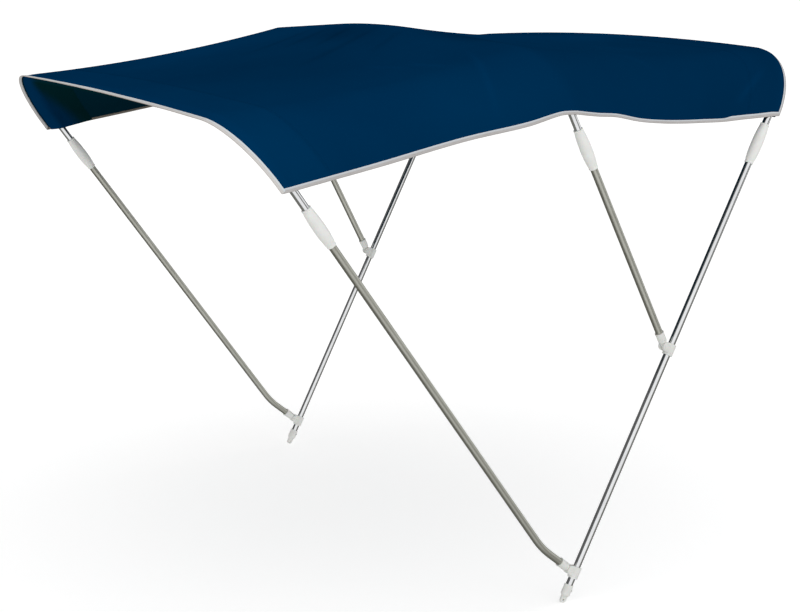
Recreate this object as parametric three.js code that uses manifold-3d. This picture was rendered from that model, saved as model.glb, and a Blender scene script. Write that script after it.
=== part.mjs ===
// Three-bow bimini top: a canvas canopy on a folding frame of round tube.
// Millimetres. +X points aft, +Y to starboard and +Z up. The origin lies midway between the pin
// holes of the two eye ends, on which the frame stands. The frame is open, with its cloth taut.
import * as THREE from 'three';
import { mergeVertices } from 'three/addons/utils/BufferGeometryUtils.js';
import Module from 'manifold-3d';

const wasm = await Module();
wasm.setup();

const DEGREE = Math.PI / 180;

// Tubes
const HALF_WIDTH = 915;
const TUBE_RADIUS = 11;
const TUBE_SIDES = 10;
const FIT_GAP = 0.3;
const BORE_RADIUS = 11.8;
const BEND_STEPS = 8;
const CROWN_STEPS = 10;

// Main legs, and where the knuckles' pivots lie on them
const MAIN_TILT = 27.3;
const PIVOT_OFFSET = 22;
const LOWER_SLIDE_HEIGHT = 91;
const UPPER_SLIDE_HEIGHT = 813;

// Front legs bend once, at a knee a little above the lower knuckle
const FRONT_KNEE = new THREE.Vector2(-80, 176);
const KNEE_RADIUS = 280;
const KNEE_STEPS = 5;

// Along each leg from its base: the grip's middle, the cloth's edge and the start of the bow's bend.
// round is the bend's radius, and crown the slope at its end. From there the crown runs straight,
// and turns over in an arc within peak of its middle. lean is how much higher the starboard bend
// starts than the bow's mean, and the port bend lower.
const BOWS = {
  front: {
    tilt: -35.45, grip: 1243, portEdge: 1370, starboardEdge: 1361, bend: 1401, round: 186, crown: 1.9,
    peak: 750, lean: 4,
  },
  middle: {
    tilt: -27, grip: 682, portEdge: 797, starboardEdge: 790, bend: 806.5, round: 176, crown: 3.8,
    peak: 280, lean: -3,
  },
  main: {
    tilt: MAIN_TILT, grip: 1484, portEdge: 1577, starboardEdge: 1556, bend: 1579, round: 189, crown: 3.4,
    peak: 750, lean: -13,
  },
};

// Grip sleeves: outer radius along the length
const GRIP_LENGTH = 128;
const GRIP_SIDES = 12;
const GRIP_PROFILE = [
  { along: 0, radius: 13.2 },
  { along: 6, radius: 13.8 },
  { along: 8, radius: 13.2 },
  { along: 24, radius: 15.6 },
  { along: 46, radius: 17.4 },
  { along: 84, radius: 17.2 },
  { along: 108, radius: 15.4 },
  { along: 121, radius: 13.6 },
  { along: 128, radius: 13.9 },
];

// Fittings
const ROUND_SIDES = 16;
const PIN_SIDES = 10;

// Knuckles
const SLIDE_RADIUS = 16;
const SLIDE_TOP = 15;
const SLIDE_BOTTOM = -21;
const CHEEK_RADIUS = 14;
const CHEEK_HALF_SPAN = 12.5;
const SLOT_HALF_WIDTH = 5.4;
const SLOT_FLOOR = 13.8;
const TANG_RADIUS = 7.8;
const TANG_HALF_THICKNESS = 5;
const SOCKET_RADIUS = 13.5;
const SOCKET_START = 14.6;
const SOCKET_FLOOR = 20;
const SOCKET_END = 49;
const PIN_RADIUS = 3;
const PIN_HOLE_RADIUS = 3.5;
const PIN_HEAD_RADIUS = 6.5;
const PIN_HEAD_THICKNESS = 2;

// Eye ends
const EYE_RADIUS = 9.5;
const EYE_HALF_THICKNESS = 4;
const EYE_HOLE_RADIUS = 3.5;
const EYE_NECK_TOP = 13;
const EYE_BARREL_FLOOR = 18;
const EYE_BARREL_TOP = 48;
const EYE_BARREL_RADIUS = 14;
const EYE_CHAMFER = 3;
const SCREW_HEIGHT = 34;
const SCREW_TURN = -56;
const SCREW_RADIUS = 2.4;
const SCREW_HOLE_RADIUS = 2.8;

// Cloth
const CLOTH_THICKNESS = 2;
const CLOTH_LIFT = 12.7;
const HEM_LIFT = 14.3;
const SPAN_STEPS = 8;

// How far the cloth reaches past the end bows, and how far its edge droops there, round its girth
// from port hem to starboard hem
const SHOULDER_GIRTH = 0.72;
const GIRTH_KEYS = [-1, -SHOULDER_GIRTH, 0, SHOULDER_GIRTH, 1];
const OVERHANGS = {
  front: { reach: [36, 53, 39, 47, 48], droop: [3, 6, 5, -3, 2] },
  rear: { reach: [33, 26, 30, 30, 32], droop: [5, 11, 3, 8, 3] },
};

// How far the cloth is drawn in at the middle of each span, at its crown, shoulders and hems. The
// hems also hang below the straight line from bow to bow, by each drop at its share of the span.
const SPANS = [
  {
    drawnIn: [18, 24, 20, 17, 18],
    portHem: [[0, 0], [0.3, 2], [0.6, -2.7], [0.83, 1.8], [0.95, -5.5], [1, 0]],
    starboardHem: [[0, 0], [0.5, 4], [1, 0]],
  },
  {
    drawnIn: [14, 24, 21.5, 22.5, 14],
    portHem: [
      [0, 0], [0.12, 6.2], [0.21, 8], [0.33, 20.5], [0.45, 25], [0.55, 24.8], [0.65, 22.2], [0.75, 19],
      [0.85, 11.5], [0.93, 6], [1, 0],
    ],
    starboardHem: [[0, 0], [0.42, 16], [1, 0]],
  },
];

// Edge binding: tape folded over the edge of the cloth
const BINDING_WIDTH = 12;
const BINDING_WALL = 1;
const EDGE_STRIP = 15;
const BINDING_GAP = 0.4;
const BINDING_CLEAR = CLOTH_THICKNESS / 2 + BINDING_GAP;

// Pockets that hold the end bows, as a strip under the cloth. ahead is measured from the bow's
// middle towards the edge, across from the bow's middle outwards.
const POCKET_THICKNESS = 1.5;
const POCKET_SEAM_CLEAR = 2.4;
const POCKET_HEM_CLEAR = 3.8;
const POCKET_WIDTH = 0.135;
const POCKET_SETBACK = 2;
const POCKET_UNDER = [
  { ahead: 16, across: -7.5 },
  { ahead: 0, across: -14.5 },
  { ahead: -16, across: -9 },
];

// How far up the leg from the cloth's edge each pocket's ends lie, at the bow. Where an end lies
// lower than the edge, it rises to the edge at the seam.
const POCKET_SHIFTS = {
  front: { port: 9, starboard: -3 },
  rear: { port: -9, starboard: 0 },
};

function material(color, roughness, metalness) {
  return new THREE.MeshStandardMaterial({ color, roughness, metalness });
}

const NAVY_CANVAS = material(0x002c4e, 0.9, 0);
const GREY_TAPE = material(0xb9b6b4, 0.85, 0);
const POLISHED_TUBE = material(0xc9cbcd, 0.2, 1);
const SATIN_TUBE = material(0x8d8d84, 0.45, 1);
const WHITE_NYLON = material(0xe4e5e2, 0.5, 0);
const DARK_STEEL = material(0x35363a, 0.4, 1);

const root = new THREE.Group();

function addMesh(parent, name, geometry, finish) {
  const mesh = new THREE.Mesh(geometry, finish);
  mesh.name = name;
  parent.add(mesh);
  return mesh;
}

// Booleans

function toManifold(geometry) {
  const bare = geometry.clone();
  bare.deleteAttribute('normal');
  bare.deleteAttribute('uv');
  const merged = mergeVertices(bare, 1e-4);
  return new wasm.Manifold(new wasm.Mesh({
    numProp: 3,
    vertProperties: new Float32Array(merged.attributes.position.array),
    triVerts: new Uint32Array(merged.index.array),
  }));
}

function toGeometry(manifold) {
  const mesh = manifold.getMesh();
  const geometry = new THREE.BufferGeometry();
  geometry.setAttribute('position', new THREE.BufferAttribute(new Float32Array(mesh.vertProperties), 3));
  geometry.setIndex(new THREE.BufferAttribute(new Uint32Array(mesh.triVerts), 1));
  geometry.computeVertexNormals();
  return geometry;
}

function joined(geometries) {
  return geometries.map(toManifold).reduce((sum, next) => sum.add(next));
}

function box(from, to) {
  const size = new THREE.Vector3().subVectors(to, from);
  const middle = new THREE.Vector3().addVectors(from, to).multiplyScalar(0.5);
  return new THREE.BoxGeometry(size.x, size.y, size.z).translate(middle.x, middle.y, middle.z);
}

function cylinderAlongZ(radius, bottom, top) {
  return new THREE.CylinderGeometry(radius, radius, top - bottom, ROUND_SIDES)
    .rotateX(Math.PI / 2)
    .translate(0, 0, (bottom + top) / 2);
}

function cylinderAlongY(radius, x, halfLength, sides = PIN_SIDES) {
  return new THREE.CylinderGeometry(radius, radius, 2 * halfLength, sides).translate(x, 0, 0);
}

// A closed solid swept through rings of points, each ring listed in the same turn
function loftGeometry(rings) {
  const count = rings[0].length;
  const positions = rings.flat().flatMap((p) => [p.x, p.y, p.z]);
  const faces = [];
  for (let r = 0; r + 1 < rings.length; r += 1) {
    for (let i = 0; i < count; i += 1) {
      const a = r * count + i;
      const b = r * count + ((i + 1) % count);
      faces.push(a, b, b + count, a, b + count, a + count);
    }
  }
  return { positions, faces, count, last: (rings.length - 1) * count };
}

function finishGeometry(positions, faces) {
  const geometry = new THREE.BufferGeometry();
  geometry.setAttribute('position', new THREE.Float32BufferAttribute(positions, 3));
  geometry.setIndex(faces);
  if (signedVolume(positions, faces) < 0) {
    for (let i = 0; i < faces.length; i += 3) {
      [faces[i + 1], faces[i + 2]] = [faces[i + 2], faces[i + 1]];
    }
    geometry.setIndex(faces);
  }
  geometry.computeVertexNormals();
  return geometry;
}

function signedVolume(positions, faces) {
  const corner = (i) => new THREE.Vector3(positions[3 * i], positions[3 * i + 1], positions[3 * i + 2]);
  let sum = 0;
  for (let i = 0; i < faces.length; i += 3) {
    sum += corner(faces[i]).dot(corner(faces[i + 1]).cross(corner(faces[i + 2])));
  }
  return sum / 6;
}

// Round tube along a path that lies in one plane, mitred at each point
function tubeGeometry(path, planeNormal) {
  const rings = path.map((point, i) => {
    const before = new THREE.Vector3().subVectors(point, path[Math.max(i - 1, 0)]).normalize();
    const after = new THREE.Vector3().subVectors(path[Math.min(i + 1, path.length - 1)], point).normalize();
    const along = new THREE.Vector3().addVectors(before, after).normalize();
    const stretch = i === 0 || i === path.length - 1 ? 1 : 1 / along.dot(after);
    const across = new THREE.Vector3().crossVectors(planeNormal, along).normalize();
    return Array.from({ length: TUBE_SIDES }, (_, k) => {
      const turn = (2 * Math.PI * (k + 0.5)) / TUBE_SIDES;
      return point.clone()
        .addScaledVector(planeNormal, TUBE_RADIUS * Math.cos(turn))
        .addScaledVector(across, TUBE_RADIUS * stretch * Math.sin(turn));
    });
  });
  const { positions, faces, count, last } = loftGeometry(rings);
  for (let i = 1; i + 1 < count; i += 1) {
    faces.push(0, i + 1, i, last, last + i, last + i + 1);
  }
  return finishGeometry(positions, faces);
}

// Side planes: points and directions in X and Z

function direction(tiltDegrees) {
  return new THREE.Vector2(Math.sin(tiltDegrees * DEGREE), Math.cos(tiltDegrees * DEGREE));
}

const MAIN_DIRECTION = direction(MAIN_TILT);
const MAIN_FORWARD = new THREE.Vector2(-MAIN_DIRECTION.y, MAIN_DIRECTION.x);

function pivotAt(height) {
  return MAIN_DIRECTION.clone().multiplyScalar(height).addScaledVector(MAIN_FORWARD, PIVOT_OFFSET);
}

const LOWER_PIVOT = pivotAt(LOWER_SLIDE_HEIGHT);
const UPPER_PIVOT = pivotAt(UPPER_SLIDE_HEIGHT);

BOWS.front.base = FRONT_KNEE;
BOWS.middle.base = UPPER_PIVOT;
BOWS.main.base = new THREE.Vector2(0, 0);

function legPoint(bow, height, y) {
  const place = bow.base.clone().addScaledVector(direction(bow.tilt), height);
  return new THREE.Vector3(place.x, y, place.y);
}

// Half of a bow's centre line, from height start on its leg to the crown's middle. side is -1 to
// port and 1 to starboard. Each point has its place athwart and its height along the leg.
function bowHalf(bow, start, side) {
  const slope = bow.crown * DEGREE;
  const turn = Math.PI / 2 - slope;
  const points = [{ y: HALF_WIDTH, height: start, lean: 0 }];
  const addPoint = (y, height) => {
    points.push({ y, height, lean: side * bow.lean * (y / HALF_WIDTH) });
  };
  for (let i = 0; i <= BEND_STEPS; i += 1) {
    const angle = (turn * i) / BEND_STEPS;
    addPoint(HALF_WIDTH - bow.round * (1 - Math.cos(angle)), bow.bend + bow.round * Math.sin(angle));
  }
  const shoulder = points[points.length - 1];
  const peak = Math.min(bow.peak, shoulder.y);
  const arch = peak / Math.sin(slope);
  const belowMiddle = (y) => (
    arch - Math.sqrt(arch ** 2 - Math.min(y, peak) ** 2) + Math.max(y - peak, 0) * Math.tan(slope));
  const top = shoulder.height + belowMiddle(shoulder.y);
  for (let i = 1; i <= CROWN_STEPS; i += 1) {
    const y = shoulder.y * (1 - i / CROWN_STEPS);
    addPoint(y, top - belowMiddle(y));
  }
  return points.map(({ y, height, lean }) => legPoint(bow, height + lean, side * y));
}

function bowLine(bow, portStart, starboardStart) {
  const port = bowHalf(bow, portStart, -1);
  const starboard = bowHalf(bow, starboardStart, 1);
  return [...port, ...starboard.reverse().slice(1)];
}

function bowPlaneNormal(bow) {
  const along = direction(bow.tilt);
  return new THREE.Vector3(along.y, 0, -along.x);
}

// Tubes

function addTopBow(name, bow, finish) {
  const start = bow.grip + FIT_GAP / 2;
  const path = bowLine(bow, start, start);
  addMesh(root, name, tubeGeometry(path, bowPlaneNormal(bow)), finish);
}

function kneePath(y) {
  const low = new THREE.Vector2().subVectors(FRONT_KNEE, LOWER_PIVOT).normalize();
  const high = direction(BOWS.front.tilt);
  const turn = Math.acos(low.dot(high));
  const reach = KNEE_RADIUS * Math.tan(turn / 2);
  const inward = new THREE.Vector2(low.y, -low.x);
  const start = LOWER_PIVOT.clone().addScaledVector(low, SOCKET_FLOOR + FIT_GAP);
  const bendStart = FRONT_KNEE.clone().addScaledVector(low, -reach);
  const centre = bendStart.clone().addScaledVector(inward, KNEE_RADIUS);
  const path = [start];
  for (let i = 0; i <= KNEE_STEPS; i += 1) {
    const angle = (turn * i) / KNEE_STEPS;
    path.push(centre.clone()
      .addScaledVector(inward, -KNEE_RADIUS * Math.cos(angle))
      .addScaledVector(low, KNEE_RADIUS * Math.sin(angle)));
  }
  path.push(FRONT_KNEE.clone().addScaledVector(high, BOWS.front.grip - FIT_GAP / 2));
  return path.map((p) => new THREE.Vector3(p.x, y, p.y));
}

const ATHWART = new THREE.Vector3(0, 1, 0);

function addLegs(side, y) {
  const { middle, main } = BOWS;
  addMesh(root, `front_leg_${side}`, tubeGeometry(kneePath(y), ATHWART), SATIN_TUBE);
  const middlePath = [
    legPoint(middle, SOCKET_FLOOR + FIT_GAP, y),
    legPoint(middle, middle.grip - FIT_GAP / 2, y),
  ];
  addMesh(root, `middle_leg_${side}`, tubeGeometry(middlePath, ATHWART), SATIN_TUBE);
  const mainPath = [
    legPoint(main, EYE_BARREL_FLOOR + FIT_GAP, y),
    legPoint(main, main.grip - FIT_GAP / 2, y),
  ];
  addMesh(root, `main_leg_${side}`, tubeGeometry(mainPath, ATHWART), POLISHED_TUBE);
}

// Grip sleeves

function gripGeometry() {
  const outer = GRIP_PROFILE.map(({ along, radius }) => new THREE.Vector2(radius, along - GRIP_LENGTH / 2));
  const half = GRIP_LENGTH / 2;
  const profile = [
    new THREE.Vector2(BORE_RADIUS, -half),
    ...outer,
    new THREE.Vector2(BORE_RADIUS, half),
    new THREE.Vector2(BORE_RADIUS, -half),
  ];
  return new THREE.LatheGeometry(profile, GRIP_SIDES).rotateX(Math.PI / 2);
}

function addGrip(name, bow, y) {
  const grip = addMesh(root, name, gripGeometry(), WHITE_NYLON);
  grip.position.copy(legPoint(bow, bow.grip, y));
  grip.rotation.y = bow.tilt * DEGREE;
}

// Knuckles. In a knuckle's own frame Z runs up the main leg and -X points forward.

function extrudedAcross(shape, halfSpan) {
  const curveSegments = ROUND_SIDES / 2;
  return new THREE.ExtrudeGeometry(shape, { depth: 2 * halfSpan, bevelEnabled: false, curveSegments })
    .translate(0, 0, -halfSpan)
    .rotateX(Math.PI / 2);
}

function slideGeometry() {
  const cheek = new THREE.Shape();
  cheek.moveTo(0, -CHEEK_RADIUS);
  cheek.lineTo(0, CHEEK_RADIUS);
  cheek.lineTo(-PIVOT_OFFSET, CHEEK_RADIUS);
  cheek.absarc(-PIVOT_OFFSET, 0, CHEEK_RADIUS, Math.PI / 2, 1.5 * Math.PI, false);
  const sleeve = cylinderAlongZ(SLIDE_RADIUS, SLIDE_BOTTOM, SLIDE_TOP);
  const body = joined([extrudedAcross(cheek, CHEEK_HALF_SPAN), sleeve]);
  const slot = box(
    new THREE.Vector3(-3 * PIVOT_OFFSET, -SLOT_HALF_WIDTH, 2 * SLIDE_BOTTOM),
    new THREE.Vector3(-SLOT_FLOOR, SLOT_HALF_WIDTH, 2 * SLIDE_TOP),
  );
  const cut = body
    .subtract(toManifold(cylinderAlongZ(BORE_RADIUS, 2 * SLIDE_BOTTOM, 2 * SLIDE_TOP)))
    .subtract(toManifold(slot))
    .subtract(toManifold(cylinderAlongY(PIN_HOLE_RADIUS, -PIVOT_OFFSET, 2 * CHEEK_HALF_SPAN)));
  return toGeometry(cut);
}

// The leg's end: its axis is Z, with the pivot at the origin
function legEndGeometry() {
  const tang = new THREE.Shape();
  tang.moveTo(TANG_RADIUS, SOCKET_FLOOR - 1);
  tang.lineTo(-TANG_RADIUS, SOCKET_FLOOR - 1);
  tang.lineTo(-TANG_RADIUS, 0);
  tang.absarc(0, 0, TANG_RADIUS, Math.PI, 2 * Math.PI, false);
  const tangSolid = extrudedAcross(tang, TANG_HALF_THICKNESS);
  const socket = cylinderAlongZ(SOCKET_RADIUS, SOCKET_START, SOCKET_END);
  const cut = joined([tangSolid, socket])
    .subtract(toManifold(cylinderAlongZ(BORE_RADIUS, SOCKET_FLOOR, 2 * SOCKET_END)))
    .subtract(toManifold(cylinderAlongY(PIN_HOLE_RADIUS, 0, 2 * TANG_HALF_THICKNESS)));
  return toGeometry(cut);
}

function pinGeometry() {
  const end = CHEEK_HALF_SPAN + FIT_GAP;
  const profile = [
    new THREE.Vector2(0, -end - PIN_HEAD_THICKNESS),
    new THREE.Vector2(PIN_HEAD_RADIUS - 1, -end - PIN_HEAD_THICKNESS),
    new THREE.Vector2(PIN_HEAD_RADIUS, -end - PIN_HEAD_THICKNESS + 1),
    new THREE.Vector2(PIN_HEAD_RADIUS, -end),
    new THREE.Vector2(PIN_RADIUS, -end),
    new THREE.Vector2(PIN_RADIUS, end),
    new THREE.Vector2(PIN_HEAD_RADIUS, end),
    new THREE.Vector2(PIN_HEAD_RADIUS, end + PIN_HEAD_THICKNESS - 1),
    new THREE.Vector2(PIN_HEAD_RADIUS - 1, end + PIN_HEAD_THICKNESS),
    new THREE.Vector2(0, end + PIN_HEAD_THICKNESS),
  ];
  return new THREE.LatheGeometry(profile, PIN_SIDES);
}

function addKnuckle(place, side, y, height, legTilt) {
  const knuckle = new THREE.Group();
  const middle = MAIN_DIRECTION.clone().multiplyScalar(height);
  knuckle.position.set(middle.x, y, middle.y);
  knuckle.rotation.y = MAIN_TILT * DEGREE;
  root.add(knuckle);
  addMesh(knuckle, `${place}_slide_${side}`, slideGeometry(), WHITE_NYLON);
  const pin = addMesh(knuckle, `${place}_pivot_pin_${side}`, pinGeometry(), WHITE_NYLON);
  pin.position.x = -PIVOT_OFFSET;
  const legEnd = addMesh(knuckle, `${place}_leg_end_${side}`, legEndGeometry(), WHITE_NYLON);
  legEnd.position.x = -PIVOT_OFFSET;
  legEnd.rotation.y = (legTilt - MAIN_TILT) * DEGREE;
}

function kneeTilt() {
  const low = new THREE.Vector2().subVectors(FRONT_KNEE, LOWER_PIVOT);
  return Math.atan2(low.x, low.y) / DEGREE;
}

// Eye ends. The screw sits in a hole through the barrel's wall.

function screwCylinder(radius, from, to) {
  return new THREE.CylinderGeometry(radius, radius, to - from, 12)
    .rotateZ(-Math.PI / 2)
    .translate((from + to) / 2, 0, SCREW_HEIGHT)
    .rotateZ(SCREW_TURN * DEGREE);
}

function eyeEndGeometry() {
  const tang = new THREE.Shape();
  tang.moveTo(EYE_RADIUS, EYE_NECK_TOP + 1);
  tang.lineTo(-EYE_RADIUS, EYE_NECK_TOP + 1);
  tang.lineTo(-EYE_RADIUS, 0);
  tang.absarc(0, 0, EYE_RADIUS, Math.PI, 2 * Math.PI, false);
  const tangSolid = extrudedAcross(tang, EYE_HALF_THICKNESS);
  const shoulder = EYE_NECK_TOP + EYE_CHAMFER;
  const barrel = new THREE.LatheGeometry([
    new THREE.Vector2(0, EYE_NECK_TOP),
    new THREE.Vector2(EYE_BARREL_RADIUS - EYE_CHAMFER, EYE_NECK_TOP),
    new THREE.Vector2(EYE_BARREL_RADIUS, shoulder),
    new THREE.Vector2(EYE_BARREL_RADIUS, EYE_BARREL_TOP - 1),
    new THREE.Vector2(EYE_BARREL_RADIUS - 1, EYE_BARREL_TOP),
    new THREE.Vector2(0, EYE_BARREL_TOP),
  ], ROUND_SIDES).rotateX(Math.PI / 2);
  const cut = joined([tangSolid, barrel])
    .subtract(toManifold(cylinderAlongZ(BORE_RADIUS, EYE_BARREL_FLOOR, 2 * EYE_BARREL_TOP)))
    .subtract(toManifold(cylinderAlongY(EYE_HOLE_RADIUS, 0, 2 * EYE_HALF_THICKNESS, 16)))
    .subtract(toManifold(screwCylinder(SCREW_HOLE_RADIUS, TUBE_RADIUS, 2 * EYE_BARREL_RADIUS)));
  return toGeometry(cut);
}

function addEyeEnd(side, y) {
  const foot = new THREE.Group();
  foot.position.y = y;
  foot.rotation.y = MAIN_TILT * DEGREE;
  root.add(foot);
  addMesh(foot, `eye_end_${side}`, eyeEndGeometry(), WHITE_NYLON);
  const screw = screwCylinder(SCREW_RADIUS, TUBE_RADIUS + 2 * FIT_GAP, EYE_BARREL_RADIUS);
  addMesh(foot, `set_screw_${side}`, screw, DARK_STEEL);
}

// Cloth. Its surface is a grid: rows run round the girth from port hem to starboard hem, and
// follow each other from the front edge to the rear edge.

function atGirth(values, girth) {
  const last = GIRTH_KEYS.length - 2;
  let i = 0;
  while (i < last && girth > GIRTH_KEYS[i + 1]) {
    i += 1;
  }
  const share = (girth - GIRTH_KEYS[i]) / (GIRTH_KEYS[i + 1] - GIRTH_KEYS[i]);
  return values[i] + (values[i + 1] - values[i]) * share;
}

const COLUMNS = 2 * (BEND_STEPS + CROWN_STEPS + 1) + 1;

// Girth of each column, from -1 at the port hem through 0 at the crown to 1 at the starboard hem
const GIRTHS = (() => {
  const line = bowLine(BOWS.main, BOWS.main.portEdge, BOWS.main.starboardEdge);
  const lengths = [0];
  for (let i = 1; i < line.length; i += 1) {
    lengths.push(lengths[i - 1] + line[i].distanceTo(line[i - 1]));
  }
  return lengths.map((length) => (2 * length) / lengths[COLUMNS - 1] - 1);
})();

function liftAt(column) {
  const fromHem = Math.min(column, COLUMNS - 1 - column);
  return fromHem < 2 ? HEM_LIFT : CLOTH_LIFT;
}

// Weight of what happens at the hem, fading to nothing halfway round the bend
function hemWeight(column) {
  const fromHem = Math.min(column, COLUMNS - 1 - column);
  return Math.max(0, 1 - Math.max(0, fromHem - 1) / (BEND_STEPS / 2));
}

// The three bows as seen by the cloth: centre points, and outward normals across both spans
function clothStations(portShift, starboardShift) {
  const order = [BOWS.front, BOWS.middle, BOWS.main];
  const lines = order.map((bow) => (
    bowLine(bow, bow.portEdge + portShift, bow.starboardEdge + starboardShift)));
  const foreAft = lines.map((_, s) => lines[s].map((_p, c) => {
    const sum = new THREE.Vector3();
    if (s > 0) {
      sum.add(lines[s][c].clone().sub(lines[s - 1][c]).normalize());
    }
    if (s < 2) {
      sum.add(lines[s + 1][c].clone().sub(lines[s][c]).normalize());
    }
    return sum.normalize();
  }));
  return lines.map((line, s) => line.map((centre, c) => {
    const around = line[Math.min(c + 1, line.length - 1)].clone().sub(line[Math.max(c - 1, 0)]);
    const aft = foreAft[s][c];
    const outward = new THREE.Vector3().crossVectors(aft, around).normalize();
    return { centre, aft, outward };
  }));
}

// The value at a place on a smooth line through keys, each a place and its value
function smoothThrough(keys, place) {
  const last = keys.length - 1;
  const i = THREE.MathUtils.clamp(keys.filter(([at]) => at <= place).length, 1, last);
  const slope = (k) => {
    const [fromPlace, fromValue] = keys[Math.max(k - 1, 0)];
    const [toPlace, toValue] = keys[Math.min(k + 1, last)];
    return (toValue - fromValue) / (toPlace - fromPlace);
  };
  const [start, startValue] = keys[i - 1];
  const [end, endValue] = keys[i];
  const width = end - start;
  const t = (place - start) / width;
  return (1 + 2 * t) * (1 - t) ** 2 * startValue + t * (1 - t) ** 2 * width * slope(i - 1)
    + t * t * (3 - 2 * t) * endValue - t * t * (1 - t) * width * slope(i);
}

function clothPoint(stations, place, column) {
  const { span, share } = place;
  const { drawnIn, portHem, starboardHem } = SPANS[span];
  const girth = GIRTHS[column];
  const near = stations[span][column];
  const far = stations[span + 1][column];
  const lift = liftAt(column);
  const from = near.centre.clone().addScaledVector(near.outward, lift);
  const to = far.centre.clone().addScaledVector(far.outward, lift);
  const outward = near.outward.clone().lerp(far.outward, share).normalize();
  const drop = hemWeight(column) * smoothThrough(girth < 0 ? portHem : starboardHem, share);
  return from.lerp(to, share)
    .addScaledVector(outward, -4 * share * (1 - share) * atGirth(drawnIn, girth))
    .add(new THREE.Vector3(0, 0, -drop));
}

// Past an end bow the cloth runs on, and droops towards its edge
function overhangPoint(stations, end, share, column) {
  const front = end === 'front';
  const station = stations[front ? 0 : 2][column];
  const { reach, droop } = OVERHANGS[end];
  const along = (front ? -1 : 1) * share * atGirth(reach, GIRTHS[column]);
  return clothPoint(stations, front ? { span: 0, share: 0 } : { span: 1, share: 1 }, column)
    .addScaledVector(station.aft, along)
    .addScaledVector(station.outward, -share * share * atGirth(droop, GIRTHS[column]));
}

// Share of the overhang at which a point lies inset from the cloth's edge
function insetShare(end, inset, column) {
  return 1 - inset / atGirth(OVERHANGS[end].reach, GIRTHS[column]);
}

function allColumns(pointAt) {
  return Array.from({ length: COLUMNS }, (_, column) => pointAt(column));
}

function canopyRows() {
  const stations = clothStations(0, 0);
  const rows = [
    allColumns((c) => overhangPoint(stations, 'front', 1, c)),
    allColumns((c) => overhangPoint(stations, 'front', insetShare('front', EDGE_STRIP, c), c)),
    allColumns((c) => overhangPoint(stations, 'front', 0, c)),
  ];
  for (let span = 0; span < 2; span += 1) {
    for (let i = 1; i <= SPAN_STEPS; i += 1) {
      rows.push(allColumns((c) => clothPoint(stations, { span, share: i / SPAN_STEPS }, c)));
    }
  }
  rows.push(allColumns((c) => overhangPoint(stations, 'rear', insetShare('rear', EDGE_STRIP, c), c)));
  rows.push(allColumns((c) => overhangPoint(stations, 'rear', 1, c)));
  return rows;
}

// A closed sheet of even thickness round a grid of middle points
function sheetGeometry(rows, thickness) {
  const rowCount = rows.length;
  const columnCount = rows[0].length;
  const { clamp } = THREE.MathUtils;
  const at = (r, c) => rows[clamp(r, 0, rowCount - 1)][clamp(c, 0, columnCount - 1)];
  const positions = [];
  for (const sign of [1, -1]) {
    for (let r = 0; r < rowCount; r += 1) {
      for (let c = 0; c < columnCount; c += 1) {
        const along = at(r + 1, c).clone().sub(at(r - 1, c));
        const around = at(r, c + 1).clone().sub(at(r, c - 1));
        const normal = new THREE.Vector3().crossVectors(along, around).normalize();
        const p = at(r, c).clone().addScaledVector(normal, (sign * thickness) / 2);
        positions.push(p.x, p.y, p.z);
      }
    }
  }
  const half = rowCount * columnCount;
  const faces = [];
  const quad = (a, b, c, d) => faces.push(a, b, c, a, c, d);
  for (let r = 0; r + 1 < rowCount; r += 1) {
    for (let c = 0; c + 1 < columnCount; c += 1) {
      const a = r * columnCount + c;
      const b = a + columnCount;
      quad(a, b, b + 1, a + 1);
      quad(half + a, half + a + 1, half + b + 1, half + b);
    }
  }
  const rim = [];
  for (let c = 0; c < columnCount - 1; c += 1) rim.push(c);
  for (let r = 0; r < rowCount - 1; r += 1) rim.push(r * columnCount + columnCount - 1);
  for (let c = columnCount - 1; c > 0; c -= 1) rim.push((rowCount - 1) * columnCount + c);
  for (let r = rowCount - 1; r > 0; r -= 1) rim.push(r * columnCount);
  rim.forEach((a, i) => {
    const b = rim[(i + 1) % rim.length];
    quad(a, b, half + b, half + a);
  });
  return finishGeometry(positions, faces);
}

// Pockets

function pocketRows(end) {
  const { port, starboard } = POCKET_SHIFTS[end];
  const stations = clothStations(port, starboard);
  const seamStations = clothStations(Math.max(port, 0), Math.max(starboard, 0));
  const front = end === 'front';
  const sign = front ? -1 : 1;
  const clearAt = (c) => (hemWeight(c) === 1 ? POCKET_HEM_CLEAR : POCKET_SEAM_CLEAR);
  const stationAt = (c) => stations[front ? 0 : 2][c];
  const seamPlace = front ? { span: 0, share: POCKET_WIDTH } : { span: 1, share: 1 - POCKET_WIDTH };
  const bowPlace = front ? { span: 0, share: 0 } : { span: 1, share: 1 };
  const edgeRow = allColumns((c) => {
    const share = insetShare(end, BINDING_WIDTH + POCKET_SETBACK, c);
    return overhangPoint(stations, end, share, c).addScaledVector(stationAt(c).outward, -clearAt(c));
  });
  const underRows = POCKET_UNDER.map(({ ahead, across }) => allColumns((c) => (
    clothPoint(stations, bowPlace, c)
      .addScaledVector(stationAt(c).outward, across - liftAt(c))
      .addScaledVector(stationAt(c).aft, sign * ahead))));
  const seamRow = allColumns((c) => (
    clothPoint(seamStations, seamPlace, c).addScaledVector(stationAt(c).outward, -clearAt(c))));
  return [edgeRow, ...underRows, seamRow];
}

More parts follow.
